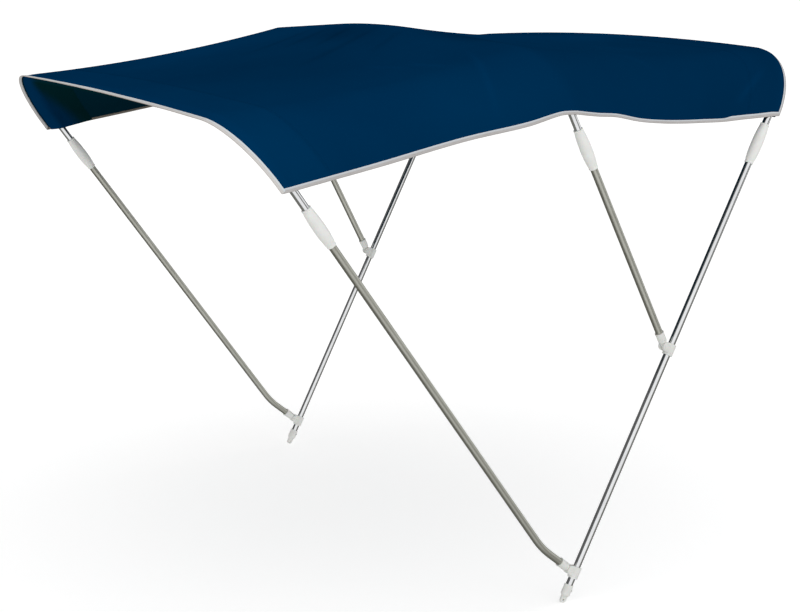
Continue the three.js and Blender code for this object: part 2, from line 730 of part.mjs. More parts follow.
// Binding: a U of tape along an edge. Each place on the edge has its outward direction along the
// cloth, edgeward, and the cloth's normal there.
function bindingGeometry(places) {
  const inner = BINDING_CLEAR;
  const outer = BINDING_CLEAR + BINDING_WALL;
  const lip = -BINDING_WIDTH;
  const nose = FIT_GAP + BINDING_WALL;
  const section = [
    [lip, outer], [nose, outer], [nose, -outer], [lip, -outer],
    [lip, -inner], [FIT_GAP, -inner], [FIT_GAP, inner], [lip, inner],
  ];
  const rings = places.map(({ point, edgeward, normal }) => section.map(([out, up]) => (
    point.clone().addScaledVector(edgeward, out).addScaledVector(normal, up))));
  const { positions, faces, last } = loftGeometry(rings);
  const capQuads = [[0, 1, 6, 7], [1, 2, 5, 6], [2, 3, 4, 5]];
  for (const [a, b, c, d] of capQuads) {
    faces.push(a, c, b, a, d, c);
    faces.push(last + a, last + b, last + c, last + a, last + c, last + d);
  }
  return finishGeometry(positions, faces);
}

function edgePlaces(edge, inside) {
  return edge.map((point, i) => {
    const along = edge[Math.min(i + 1, edge.length - 1)].clone().sub(edge[Math.max(i - 1, 0)]).normalize();
    const edgeward = point.clone().sub(inside[i]).normalize();
    return { point, edgeward, normal: new THREE.Vector3().crossVectors(edgeward, along).normalize() };
  });
}

// The side edges are bound between the bindings of the front and rear edges
function sideEdge(rows, column) {
  const edge = rows.map((row) => row[column].clone());
  const trim = (BINDING_WIDTH + 2 * FIT_GAP) / EDGE_STRIP;
  const last = edge.length - 1;
  edge[0].lerp(edge[1], trim);
  edge[last].lerp(edge[last - 1], trim);
  return edge;
}

function addCloth() {
  const rows = canopyRows();
  addMesh(root, 'canopy', sheetGeometry(rows, CLOTH_THICKNESS), NAVY_CANVAS);
  for (const end of ['front', 'rear']) {
    addMesh(root, `${end}_pocket`, sheetGeometry(pocketRows(end), POCKET_THICKNESS), NAVY_CANVAS);
  }
  const last = rows.length - 1;
  addMesh(root, 'front_binding', bindingGeometry(edgePlaces(rows[0], rows[1])), GREY_TAPE);
  addMesh(root, 'rear_binding', bindingGeometry(edgePlaces(rows[last], rows[last - 1])), GREY_TAPE);
  const sides = { port: [0, 1], starboard: [COLUMNS - 1, COLUMNS - 2] };
  for (const [side, [column, next]] of Object.entries(sides)) {
    const places = edgePlaces(sideEdge(rows, column), sideEdge(rows, next));
    addMesh(root, `${side}_binding`, bindingGeometry(places), GREY_TAPE);
  }
}

addTopBow('front_bow', BOWS.front, POLISHED_TUBE);
addTopBow('middle_bow', BOWS.middle, POLISHED_TUBE);
addTopBow('main_bow', BOWS.main, POLISHED_TUBE);
for (const [side, y] of [['port', -HALF_WIDTH], ['starboard', HALF_WIDTH]]) {
  addLegs(side, y);
  for (const [name, bow] of Object.entries(BOWS)) {
    addGrip(`${name}_grip_${side}`, bow, y);
  }
  addKnuckle('lower', side, y, LOWER_SLIDE_HEIGHT, kneeTilt());
  addKnuckle('upper', side, y, UPPER_SLIDE_HEIGHT, BOWS.middle.tilt);
  addEyeEnd(side, y);
}
addCloth();

export default root;
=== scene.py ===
# Looks of a bimini top with its tube frame. Metres, in the frame's own axes: +X points aft,
# +Y to starboard and +Z up, with the origin midway between the pin holes of the two eye ends.
import random
from math import acos, atan2, cos, pi, sin, sqrt, tan

import bmesh
import bpy
import numpy as np
from mathutils import Matrix, Vector


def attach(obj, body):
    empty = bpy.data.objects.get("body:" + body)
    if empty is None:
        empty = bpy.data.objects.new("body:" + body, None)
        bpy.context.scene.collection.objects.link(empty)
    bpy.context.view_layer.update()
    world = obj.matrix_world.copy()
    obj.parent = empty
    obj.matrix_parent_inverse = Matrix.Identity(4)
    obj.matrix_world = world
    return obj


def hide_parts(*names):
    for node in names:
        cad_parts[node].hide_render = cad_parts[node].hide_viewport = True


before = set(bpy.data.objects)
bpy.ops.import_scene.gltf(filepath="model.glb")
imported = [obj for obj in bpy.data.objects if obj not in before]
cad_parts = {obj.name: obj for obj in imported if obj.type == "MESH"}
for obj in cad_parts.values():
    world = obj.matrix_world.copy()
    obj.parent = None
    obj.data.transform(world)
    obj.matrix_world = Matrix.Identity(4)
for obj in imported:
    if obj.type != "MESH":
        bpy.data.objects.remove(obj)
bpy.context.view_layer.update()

MM = 0.001
DEGREE = pi / 180

# Frame of tubes
HALF_WIDTH = 0.915
SIDES = (("port", -HALF_WIDTH), ("starboard", HALF_WIDTH))
TUBE_RADIUS = 0.011
TUBE_SIDES = 40
MAIN_TILT = 27.3
PIVOT_OFFSET = 0.022
SLIDE_HEIGHTS = {"lower": 0.091, "upper": 0.813}
FRONT_KNEE = np.array([-0.080, 0.176])
KNEE_RADIUS = 0.280
KNEE_STEPS = 16

# Along each leg from its base: the grip's middle, the cloth's port and starboard edges and the start
# of the bow's bend. round is the bend's radius and crown the slope at its end. From there the crown
# runs straight, and turns over in an arc within peak of its middle. lean is how much higher the
# starboard bend starts than the bow's mean.
BOWS = {
    "front": {"tilt": -35.45, "grip": 1.243, "edges": (1.370, 1.361), "bend": 1.401,
              "round": 0.186, "crown": 1.9, "peak": 0.75, "lean": 0.004},
    "middle": {"tilt": -27.0, "grip": 0.682, "edges": (0.797, 0.790), "bend": 0.8065,
               "round": 0.176, "crown": 3.8, "peak": 0.28, "lean": -0.003},
    "main": {"tilt": MAIN_TILT, "grip": 1.484, "edges": (1.577, 1.556), "bend": 1.579,
             "round": 0.189, "crown": 3.4, "peak": 0.75, "lean": -0.013},
}
# Steps along a leg, round a bend and from there to the crown's middle
BOW_STEPS = (6, 28, 24)
CLOTH_STEPS = (3, 28, 62)

# Cloth
CLOTH_THICKNESS = 1.3 * MM
CLOTH_LIFT = 13.2 * MM
HEM_LIFT = 14.2 * MM
SHOULDER_GIRTH = 0.72
GIRTH_KEYS = [-1, -SHOULDER_GIRTH, 0, SHOULDER_GIRTH, 1]
# At each of these girths, how far the cloth runs on past an end bow, and how far it droops there
OVERHANGS = {
    "front": {"reach": [0.036, 0.053, 0.039, 0.047, 0.048], "droop": [0.003, 0.006, 0.005, -0.003, 0.002]},
    "rear": {"reach": [0.033, 0.026, 0.030, 0.030, 0.032], "droop": [0.005, 0.011, 0.003, 0.008, 0.003]},
}

# How far the cloth is drawn in at the middle of each span, at the same girths, and how far its port
# and starboard hems hang below the straight line from bow to bow, at shares of the span
SPANS = [
    {"drawn": [0.018, 0.024, 0.020, 0.017, 0.018],
     "hems": ([(0, 0), (0.3, 0.002), (0.6, -0.0027), (0.83, 0.0018), (0.95, -0.0055), (1, 0)],
              [(0, 0), (0.5, 0.004), (1, 0)])},
    {"drawn": [0.014, 0.024, 0.0215, 0.0225, 0.014],
     "hems": ([(0, 0), (0.12, 0.0062), (0.21, 0.008), (0.33, 0.0205), (0.45, 0.025), (0.55, 0.0248),
               (0.65, 0.0222), (0.75, 0.019), (0.85, 0.0115), (0.93, 0.006), (1, 0)],
              [(0, 0), (0.42, 0.016), (1, 0)])},
]
RIDGE_ROUNDING = 0.009

# Edge binding and pockets
BINDING_WIDTH = 0.012
BINDING_WALL = 0.7 * MM
SIDE_WALL = BINDING_WALL + 0.15 * MM
POCKET_THICKNESS = 1.0 * MM
POCKET_WIDTH = 0.135
POCKET_SETBACK = 0.002
# How far up the leg from the cloth's edge each pocket's port and starboard ends lie, at the bow
POCKET_SHIFTS = {"front": (0.009, -0.003), "rear": (-0.005, 0.0)}

# Camera, fitted to the frame's corners in the photograph
CAMERA_PLACE = (-2.6504, -4.5108, 1.8711)
CAMERA_YAW = -30.17
CAMERA_PITCH = 77.59
CAMERA_LENS = 71.67


# Small helpers

def unit(vectors):
    return vectors / np.linalg.norm(vectors, axis=-1, keepdims=True)


def run_length(points):
    """Distance of each point along a line from its first."""
    return np.concatenate([[0], np.cumsum(np.linalg.norm(np.diff(points, axis=0), axis=1))])


def sample(values, at, lengths):
    """Rows of values at given distances, where each row given lies at one of lengths."""
    return np.stack([np.interp(at, lengths, column) for column in values.T], axis=1)


def linear(color):
    """An sRGB colour as 0 to 255 values, as the linear colour that shaders take."""
    shares = [value / 255 for value in color]
    return (*[s / 12.92 if s <= 0.04045 else ((s + 0.055) / 1.055) ** 2.4 for s in shares], 1)


def mesh_object(name, vertices, faces, uv=None):
    """uv holds one (u, v) for each vertex."""
    mesh = bpy.data.meshes.new(name)
    mesh.from_pydata([tuple(v) for v in vertices], [], faces)
    if uv is not None:
        layer = mesh.uv_layers.new(name="UVMap")
        index = np.zeros(len(mesh.loops), np.int32)
        mesh.loops.foreach_get("vertex_index", index)
        layer.data.foreach_set("uv", np.asarray(uv, float)[index].ravel())
    mesh.validate()
    obj = bpy.data.objects.new(name, mesh)
    bpy.context.scene.collection.objects.link(obj)
    return obj


def bands(rows, ring, closed=True):
    """Faces between rows of ring vertices each, all the way round or from first to last."""
    return [(r * ring + k, r * ring + (k + 1) % ring, (r + 1) * ring + (k + 1) % ring, (r + 1) * ring + k)
            for r in range(rows - 1) for k in range(ring if closed else ring - 1)]


def face_outward(obj, merge=0):
    """Turns all faces out. With merge, vertices that close together become one first."""
    bm = bmesh.new()
    bm.from_mesh(obj.data)
    if merge:
        bmesh.ops.remove_doubles(bm, verts=bm.verts, dist=merge)
        bmesh.ops.dissolve_degenerate(bm, edges=bm.edges, dist=merge)
    bmesh.ops.recalc_face_normals(bm, faces=bm.faces)
    bm.to_mesh(obj.data)
    bm.free()
    return obj


def shade(obj, angle=35):
    obj.data.shade_smooth()
    obj.data.set_sharp_from_angle(angle=angle * DEGREE)
    return obj


def dress(obj, material, slot, *nodes):
    """The piece gets its finish, rides on the frame and stands for its CAD nodes."""
    obj.data.materials.clear()
    obj.data.materials.append(material)
    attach(obj, "root")
    if nodes:
        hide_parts(*nodes)
    return obj


def stand(obj, name, place, y, tilt):
    """Names a piece and stands it at a place in the XZ plane, leaning aft by tilt degrees."""
    obj.name = name
    obj.data.transform(Matrix.Translation((place[0], y, place[1])) @ Matrix.Rotation(tilt * DEGREE, 4, "Y"))
    return obj


# Materials

class Nodes:
    """A node tree. join links or sets a socket, add gives back a node, and the others an output."""

    def __init__(self, tree):
        self.tree = tree

    def join(self, value, socket):
        """value is an output socket or a plain value."""
        if isinstance(value, bpy.types.NodeSocket):
            self.tree.links.new(value, socket)
        else:
            socket.default_value = value

    def add(self, kind, settings=None, **inputs):
        """Inputs go by name, or by number as i0."""
        node = self.tree.nodes.new(kind)
        for key, value in (settings or {}).items():
            setattr(node, key, value)
        for key, value in inputs.items():
            self.join(value, node.inputs[int(key[1:]) if key[1:].isdigit() else key.replace("_", " ")])
        return node

    def math(self, operation, *values):
        inputs = {f"i{i}": value for i, value in enumerate(values)}
        return self.add("ShaderNodeMath", {"operation": operation}, **inputs).outputs[0]

    def uv(self, u_scale=1.0, v_scale=1.0):
        source = self.add("ShaderNodeTexCoord").outputs["UV"]
        return self.add("ShaderNodeMapping", Vector=source, Scale=(u_scale, v_scale, 1)).outputs[0]

    def place(self, scale):
        source = self.add("ShaderNodeTexCoord").outputs["Object"]
        return self.add("ShaderNodeMapping", Vector=source, Scale=(scale, scale, scale)).outputs[0]

    def noise(self, vector, detail=2.0, roughness=0.5, scale=1.0):
        return self.add("ShaderNodeTexNoise", Vector=vector, Scale=scale, Detail=detail,
                        Roughness=roughness).outputs["Fac"]

    def remap(self, value, low, high, to_low, to_high):
        return self.add("ShaderNodeMapRange", i0=value, i1=low, i2=high, i3=to_low, i4=to_high).outputs[0]

    def mix(self, factor, a, b, blend="MIX"):
        return self.add("ShaderNodeMix", {"data_type": "RGBA", "blend_type": blend},
                        i0=factor, i6=a, i7=b).outputs[2]

    def two_tone(self, value, low, high, color, other):
        """An sRGB colour that turns into another as value goes from low to high."""
        return self.mix(self.remap(value, low, high, 0, 1), linear(color), linear(other))

    def bump(self, height, strength, distance):
        return self.add("ShaderNodeBump", Height=height, Strength=strength, Distance=distance).outputs[0]


class Shader(Nodes):
    """A node material. Values that are the same all over are set on the shader's own sockets."""

    def __init__(self, name, **uniform):
        self.material = bpy.data.materials.new(name)
        self.material.use_nodes = True
        super().__init__(self.material.node_tree)
        self.surface = self.tree.nodes["Principled BSDF"]
        self.finish(**uniform)

    def finish(self, **outputs):
        """Joins outputs to the surface's sockets, and gives back the material."""
        for socket, value in outputs.items():
            self.join(value, self.surface.inputs[socket.replace("_", " ")])
        return self.material


CANVAS_YARN = 0.62 * MM
TAPE_YARN = 0.45 * MM
# Along v, which grows by a step for each point of a tape's section, where its painted highlight and painted
# shades change
SECTION_STEP = 1.2 * MM
TAPE_PAINTED_LIGHT = {"light": (0.0036, 0.0052), "under": (0.0062, 0.0092), "inside": (0.0142, 0.0154)}


def plain_weave(shader, pitch):
    """Height of a plain weave over UVs in metres, from 0 in the gaps to 1 on the yarns' crowns, and
    a factor that is 1 where the warp yarn is on top."""
    vector = shader.uv(1 / pitch, 1 / pitch)
    split = shader.add("ShaderNodeSeparateXYZ", Vector=vector)
    checker = shader.add("ShaderNodeTexChecker", Vector=vector, Scale=1.0).outputs["Fac"]

    def crown(value):
        return shader.math("ABSOLUTE", shader.math("SINE", shader.math("MULTIPLY", value, pi)))

    warp = shader.math("MULTIPLY", crown(split.outputs[0]), checker)
    weft = shader.math("MULTIPLY", crown(split.outputs[1]), shader.math("SUBTRACT", 1.0, checker))
    return shader.math("ADD", warp, weft), checker


def canvas_material(name, color, faded, dark, shadow):
    """The mesh's painted light and shade value makes the cloth lighter or darker, and its shade value, from
    0 to 1, turns it to the shadow colour."""
    shader = Shader(name, Roughness=0.9, Sheen_Weight=0.0, Specular_IOR_Level=0.0)
    height, warp = plain_weave(shader, CANVAS_YARN)
    cloudy = shader.noise(shader.uv(), 3, 0.55, scale=2.6)
    slub = shader.noise(shader.uv(14, 420), 2, 0.6)
    cross_slub = shader.noise(shader.uv(420, 14), 2, 0.6)
    painted_light = shader.add("ShaderNodeAttribute", {"attribute_name": "painted_light"}).outputs["Fac"]
    shaded = shader.add("ShaderNodeAttribute", {"attribute_name": "shade"}).outputs["Fac"]
    base = shader.two_tone(cloudy, 0.35, 0.68, color, faded)
    base = shader.mix(shader.remap(slub, 0.55, 0.8, 0, 0.35), base, linear(faded))
    # Painted shade: the weave's gaps turn towards the darker colour
    base = shader.mix(shader.remap(height, 0.0, 0.45, 0.45, 0), base, linear(dark))
    base = shader.mix(shader.math("MULTIPLY", warp, 0.12), base, linear(faded))
    base = shader.mix(shaded, base, linear(shadow))
    # Painted light and shade: the colour is scaled by one plus the mesh's value
    base = shader.add("ShaderNodeVectorMath", {"operation": "SCALE"}, i0=base,
                      i3=shader.math("ADD", painted_light, 1.0)).outputs[0]
    yarns = shader.math("ADD", height, shader.math("MULTIPLY", shader.math("ADD", slub, cross_slub), 0.5))
    return shader.finish(Base_Color=base, Normal=shader.bump(yarns, 0.45, 0.14 * MM))


def tape_material(name, light, main, worn, under, inside):
    """v runs round the tape's section: over its cut edge, the leg on top, the fold and the leg below. light
    is a painted highlight on the cut edge and the top leg's edge, under is painted shade from the fold down
    and in the weave's gaps, and inside is painted shade on the leg below.
    """
    shader = Shader(name, Roughness=0.8, Sheen_Weight=0.1, Sheen_Roughness=0.4,
                    Specular_IOR_Level=0.2)
    height, _ = plain_weave(shader, TAPE_YARN)
    dirt = shader.noise(shader.uv(), 4, 0.6, scale=9.0)
    around = shader.add("ShaderNodeSeparateXYZ", Vector=shader.uv()).outputs[1]
    base = shader.two_tone(dirt, 0.3, 0.75, main, worn)
    # Painted highlight along the top edge, then painted shade round the fold and on the leg below
    base = shader.mix(shader.remap(around, *TAPE_PAINTED_LIGHT["light"], 0.9, 0), base, linear(light))
    base = shader.mix(shader.remap(around, *TAPE_PAINTED_LIGHT["under"], 0, 0.85), base, linear(under))
    base = shader.mix(shader.remap(around, *TAPE_PAINTED_LIGHT["inside"], 0, 1), base, linear(inside))
    # Painted shade in the weave's gaps
    base = shader.mix(shader.remap(height, 0, 0.4, 0.12, 0), base, linear(under))
    return shader.finish(Base_Color=base, Normal=shader.bump(height, 0.35, 0.1 * MM))


def thread_material(name, color, shadow):
    shader = Shader(name, Roughness=0.8, Specular_IOR_Level=0.0)
    twist = shader.noise(shader.place(2400), 1)
    return shader.finish(Base_Color=shader.two_tone(twist, 0.4, 0.6, color, shadow))


def tube_material(name, color, shadow, rough_low, rough_high, scratch):
    """UVs run along the tube and around it, in metres, so the drawn lines follow the tube."""
    shader = Shader(name, Metallic=1.0)
    drawn = shader.noise(shader.uv(3.0, 900.0), 3, 0.7)
    cloudy = shader.noise(shader.uv(8.0, 30.0), 3, 0.6)
    spread = shader.math("ADD", shader.math("MULTIPLY", drawn, 0.6), shader.math("MULTIPLY", cloudy, 0.4))
    return shader.finish(Base_Color=shader.two_tone(cloudy, 0.3, 0.7, color, shadow),
                         Roughness=shader.remap(spread, 0.3, 0.7, rough_low, rough_high),
                         Normal=shader.bump(drawn, scratch, 0.03 * MM))


def nylon_material(name, color, shaded):
    shader = Shader(name, Roughness=0.42, Specular_IOR_Level=0.3, Subsurface_Weight=0.05,
                    Subsurface_Scale=0.002)
    flow = shader.noise(shader.place(38), 3, 0.55)
    grain = shader.noise(shader.place(1500), 2, 0.6)
    return shader.finish(Base_Color=shader.two_tone(flow, 0.35, 0.7, color, shaded),
                         Roughness=shader.remap(flow, 0.3, 0.7, 0.36, 0.5),
                         Normal=shader.bump(grain, 0.25, 0.05 * MM))


def steel_material():
    shader = Shader("dark_steel", Metallic=0.9)
    grain = shader.noise(shader.place(900), 3)
    return shader.finish(Base_Color=shader.mix(grain, linear((52, 52, 56)), linear((86, 86, 90))),
                         Roughness=shader.remap(grain, 0.3, 0.7, 0.35, 0.55))


# Canvas colours: its own, faded, painted shade for the weave's gaps and the painted shadow colour
CANVAS = canvas_material("navy_canvas", (0, 47, 84), (0, 50, 88), (0, 38, 73), (3, 37, 42))
# Tape colours: painted highlight, its own, worn, painted shade round the fold and painted shade on the leg
# below
TAPE = tape_material("edge_tape", (222, 229, 237), (201, 199, 200), (188, 184, 182),
                     (160, 151, 146), (122, 115, 106))
# A lit copy of the edge tape for the front edge, with painted light: lighter all over, most of all on the
# leg below
LIT_FRONT_TAPE = tape_material("lit_front_edge_tape", (225, 238, 246), (228, 226, 225), (219, 216, 213),
                           (192, 184, 178), (212, 211, 211))
NAVY_THREAD = thread_material("navy_thread", (0, 43, 78), (0, 33, 62))
GREY_THREAD = thread_material("grey_thread", (214, 212, 210), (168, 164, 162))
POLISHED = tube_material("polished_tube", (232, 233, 234), (214, 215, 217), 0.1, 0.2, 0.12)
SATIN = tube_material("satin_tube", (196, 196, 187), (182, 182, 172), 0.38, 0.48, 0.3)
GRIP_NYLON = nylon_material("grip_nylon", (249, 250, 248), (245, 246, 243))
FITTING_NYLON = nylon_material("fitting_nylon", (240, 241, 238), (229, 230, 227))
STEEL = steel_material()


# Centre lines of the frame

def direction(tilt):
    return np.array([sin(tilt * DEGREE), cos(tilt * DEGREE)])


MAIN_DIRECTION = direction(MAIN_TILT)
MAIN_FORWARD = np.array([-MAIN_DIRECTION[1], MAIN_DIRECTION[0]])
PIVOTS = {k: MAIN_DIRECTION * h + MAIN_FORWARD * PIVOT_OFFSET for k, h in SLIDE_HEIGHTS.items()}
BASES = {"front": FRONT_KNEE, "middle": PIVOTS["upper"], "main": np.zeros(2)}


def leg_place(bow, height):
    return BASES[bow] + direction(BOWS[bow]["tilt"]) * height


def leg_point(bow, height, y):
    place = leg_place(bow, height)
    return np.array([place[0], y, place[1]])


def bow_half(bow, start, side, steps):
    """Half of a bow's centre line, from height start on its leg to the crown's middle."""
    leg_steps, bend_steps, crown_steps = steps
    b = BOWS[bow]
    slope = b["crown"] * DEGREE
    turn = pi / 2 - slope
    rise = side * b["lean"]
    points = [(HALF_WIDTH, start + (b["bend"] + rise - start) * i / leg_steps) for i in range(leg_steps)]
    for i in range(bend_steps + 1):
        angle = turn * i / bend_steps
        y = HALF_WIDTH - b["round"] * (1 - cos(angle))
        points.append((y, b["bend"] + b["round"] * sin(angle) + rise * y / HALF_WIDTH))
    shoulder_y = HALF_WIDTH - b["round"] * (1 - cos(turn))
    peak = min(b["peak"], shoulder_y)
    arch = peak / sin(slope)

    def below_middle(y):
        return arch - sqrt(arch ** 2 - min(y, peak) ** 2) + max(y - peak, 0) * tan(slope)

    top = b["bend"] + b["round"] * sin(turn) + below_middle(shoulder_y)
    for i in range(1, crown_steps + 1):
        y = shoulder_y * (1 - i / crown_steps)
        points.append((y, top - below_middle(y) + rise * y / HALF_WIDTH))
    return [leg_point(bow, height, side * y) for y, height in points]


def bow_line(bow, port_start, starboard_start, steps):
    port = bow_half(bow, port_start, -1, steps)
    return np.array(port + bow_half(bow, starboard_start, 1, steps)[::-1][1:])


# Tubes. A leg's tube starts in its socket or eye end, and stops just short of the bow in the grip.

SOCKET_FLOOR = 0.0203
EYE_FLOOR = 0.0183
TUBE_GAP = 0.15 * MM
TUBE_MERGE = 1e-6


def tube(name, path, plane_normal, material, slot, node):
    path = np.asarray(path, float)
    normal = np.asarray(plane_normal, float)
    lengths = run_length(path)
    vertices, uv = [], []
    for point, tangent, length in zip(path, unit(np.gradient(path, lengths, axis=0)), lengths):
        across = np.cross(normal, tangent)
        for k in range(TUBE_SIDES + 1):
            turn = 2 * pi * k / TUBE_SIDES
            vertices.append(point + TUBE_RADIUS * (normal * cos(turn) + across * sin(turn)))
            uv.append((length, turn * TUBE_RADIUS))
    ring = TUBE_SIDES + 1
    faces = bands(len(path), ring, closed=False)
    faces += [tuple(range(row * ring, row * ring + TUBE_SIDES)) for row in (0, len(path) - 1)]
    obj = face_outward(mesh_object(name, vertices, faces, uv), TUBE_MERGE)
    return dress(shade(obj), material, slot, node)


def straight(start, end, steps):
    return [start + (end - start) * i / steps for i in range(steps + 1)]


def knee_line(y):
    """The front leg: up from the lower knuckle, round the knee and on to the grip."""
    low = unit(FRONT_KNEE - PIVOTS["lower"])
    high = direction(BOWS["front"]["tilt"])
    turn = acos(float(low @ high))
    inward = np.array([low[1], -low[0]])
    bend_start = FRONT_KNEE - low * KNEE_RADIUS * tan(turn / 2)
    centre = bend_start + inward * KNEE_RADIUS
    points = straight(PIVOTS["lower"] + low * SOCKET_FLOOR, bend_start, 3)[:-1]
    for i in range(KNEE_STEPS + 1):
        angle = turn * i / KNEE_STEPS
        points.append(centre - inward * KNEE_RADIUS * cos(angle) + low * KNEE_RADIUS * sin(angle))
    points += straight(points[-1], leg_place("front", BOWS["front"]["grip"] - TUBE_GAP), 10)[1:]
    return [np.array([p[0], y, p[1]]) for p in points]


def make_tubes():
    for bow, b in BOWS.items():
        along = direction(b["tilt"])
        start = b["grip"] + TUBE_GAP
        tube(f"{bow}_bow_tube", bow_line(bow, start, start, BOW_STEPS), (along[1], 0, -along[0]),
             POLISHED, "polished_tube", f"{bow}_bow")
    for side, y in SIDES:
        tube(f"front_leg_tube_{side}", knee_line(y), (0, 1, 0), SATIN, "satin_tube", f"front_leg_{side}")
        for bow, floor, material, slot in (("middle", SOCKET_FLOOR, SATIN, "satin_tube"),
                                           ("main", EYE_FLOOR, POLISHED, "polished_tube")):
            top = leg_point(bow, BOWS[bow]["grip"] - TUBE_GAP, y)
            tube(f"{bow}_leg_tube_{side}", straight(leg_point(bow, floor, y), top, 12), (0, 1, 0),
                 material, slot, f"{bow}_leg_{side}")


# Grips

GRIP_HALF = 0.064
GRIP_SIDES = 96
SLEEVE_BORE = 0.0113
GRIP_RIBS = 24
RIB_HEIGHT = 0.55 * MM
MOULD_LINE = 0.12 * MM
# Millimetres along the grip from its lower end to its upper end, with the outer radius there
GRIP_PROFILE = [
    (0.0, 12.4), (0.4, 13.1), (1.2, 13.5), (4.6, 13.6), (5.4, 13.2), (6.4, 12.9), (18.0, 14.7), (24.0, 15.6),
    (34.0, 16.6), (46.0, 17.2), (64.0, 17.4), (84.0, 17.0), (98.0, 16.2), (110.0, 15.1), (119.0, 14.1),
    (121.4, 13.8), (122.2, 13.3), (122.8, 13.3), (123.4, 14.0), (124.4, 14.4), (126.6, 14.4), (127.6, 13.9),
    (128.0, 13.1),
]
RIB_FROM, RIB_TO = 6.8, 20.0
MOULD_FROM, MOULD_TO = 6.4, 121
# More rows than the profile has, as (first, step, count)
RIB_ROWS = (6.4, 0.9, 18)
BARREL_ROWS = (24, 4.0, 25)


def grip_radius(along, turn):
    heights, radii = zip(*GRIP_PROFILE)
    radius = float(np.interp(along, heights, radii)) * MM
    if RIB_FROM < along < RIB_TO:
        fade = sin(pi * (along - RIB_FROM) / (RIB_TO - RIB_FROM)) ** 0.5
        radius += RIB_HEIGHT * fade * max(0.0, cos(GRIP_RIBS * turn)) ** 0.7
    if MOULD_FROM < along < MOULD_TO:
        radius += MOULD_LINE * (abs(sin(turn)) > 0.9995)
    return radius


def grip_mesh():
    heights = {height for height, _ in GRIP_PROFILE}
    for first, step, count in (RIB_ROWS, BARREL_ROWS):
        heights |= {round(first + step * i, 3) for i in range(count)}
    turns = [2 * pi * k / GRIP_SIDES for k in range(GRIP_SIDES)]
    rings = [(0.0, [SLEEVE_BORE] * GRIP_SIDES)]
    rings += [(along, [grip_radius(along, turn) for turn in turns]) for along in sorted(heights)]
    rings += [(max(heights), [SLEEVE_BORE] * GRIP_SIDES)]
    vertices = [(r * cos(turn), r * sin(turn), along * MM - GRIP_HALF)
                for along, radii in rings for r, turn in zip(radii, turns)]
    faces = [tuple(i % len(vertices) for i in face) for face in bands(len(rings) + 1, GRIP_SIDES)]
    return shade(face_outward(mesh_object("grip", vertices, faces)))


def make_grips():
    for side, y in SIDES:
        for bow, b in BOWS.items():
            grip = stand(grip_mesh(), f"{bow}_grip_sleeve_{side}", leg_place(bow, b["grip"]), y, b["tilt"])
            dress(grip, GRIP_NYLON, "nylon_grip", f"{bow}_grip_{side}")


# Solids for the fittings

LATHE_MERGE = 1e-7
# Cutters end this far out, clear of the solids
CLEAR_ACROSS = 0.03
CLEAR_ALONG = 0.05
BORE_END = 0.06


def lathe(profile, sides, axis="Z"):
    """profile is a list of (radius, along) that starts and ends on the axis."""
    vertices = [(radius * cos(2 * pi * k / sides), radius * sin(2 * pi * k / sides), along)
                for radius, along in profile for k in range(sides)]
    obj = face_outward(mesh_object("solid", vertices, bands(len(profile), sides)), LATHE_MERGE)
    if axis != "Z":
        angle, about = {"X": (90, "Y"), "Y": (-90, "X")}[axis]
        obj.data.transform(Matrix.Rotation(angle * DEGREE, 4, about))
    return obj


def rod(radius, low, high, axis="Z", sides=64, at=(0, 0, 0)):
    obj = lathe([(0, low), (radius, low), (radius, high), (0, high)], sides, axis)
    obj.data.transform(Matrix.Translation(at))
    return obj


def plate(outline, half_span):
    """A plate in the XZ plane, from -half_span to half_span along Y."""
    count = len(outline)
    vertices = [(x, y, z) for y in (-half_span, half_span) for x, z in outline]
    faces = [tuple(range(count)), tuple(range(2 * count - 1, count - 1, -1))] + bands(2, count)
    return face_outward(mesh_object("plate", vertices, faces))


def arc(centre_x, radius, start, end, steps=24):
    angles = [(start + (end - start) * i / steps) * DEGREE for i in range(steps + 1)]
    return [(centre_x + radius * cos(a), radius * sin(a)) for a in angles]


def tongue(radius, top, half_span):
    """A plate that is round about the origin below and runs up to top."""
    return plate([(radius, top), (-radius, top), (-radius, 0)] + arc(0, radius, 180, 360)[1:], half_span)


def bake(obj):
    """Applies an object's modifiers to its mesh."""
    depsgraph = bpy.context.evaluated_depsgraph_get()
    mesh = bpy.data.meshes.new_from_object(obj.evaluated_get(depsgraph))
    obj.modifiers.clear()
    obj.data = mesh
    return obj


def combine(target, others, operation):
    for other in others:
        modifier = target.modifiers.new("solid", "BOOLEAN")
        modifier.operation = operation
        modifier.solver = "EXACT"
        modifier.object = other
        bake(target)
        bpy.data.objects.remove(other)
    return target


def soften(obj, width):
    bevel = obj.modifiers.new("soften", "BEVEL")
    bevel.width = width
    bevel.segments = 3
    bevel.limit_method = "ANGLE"
    bevel.angle_limit = 32 * DEGREE
    bevel.harden_normals = False
    return shade(bake(obj), 50)


# Knuckles. In a knuckle's own frame Z runs up the main leg, -X points forward and Y is athwart.

SLIDE_RADIUS = 0.016
SLIDE_TOP, SLIDE_BOTTOM = 0.015, -0.021
CHEEK_RADIUS = 0.014
CHEEK_HALF_SPAN = 0.0125
BOSS_RADIUS = 0.0112
BOSS_RISE = 0.0006
SLOT_HALF_WIDTH = 0.0054
SLOT_FLOOR = 0.0138
TANG_RADIUS = 0.0078
TANG_TOP = 0.019
TANG_HALF = 0.005
SOCKET_RADIUS = 0.0135
SOCKET_LIP = SOCKET_RADIUS + 0.0006
SOCKET_START, SOCKET_END = 0.0146, 0.049
SOCKET_BORE_START = 0.02
PIN_HEAD_RADIUS = 0.0068
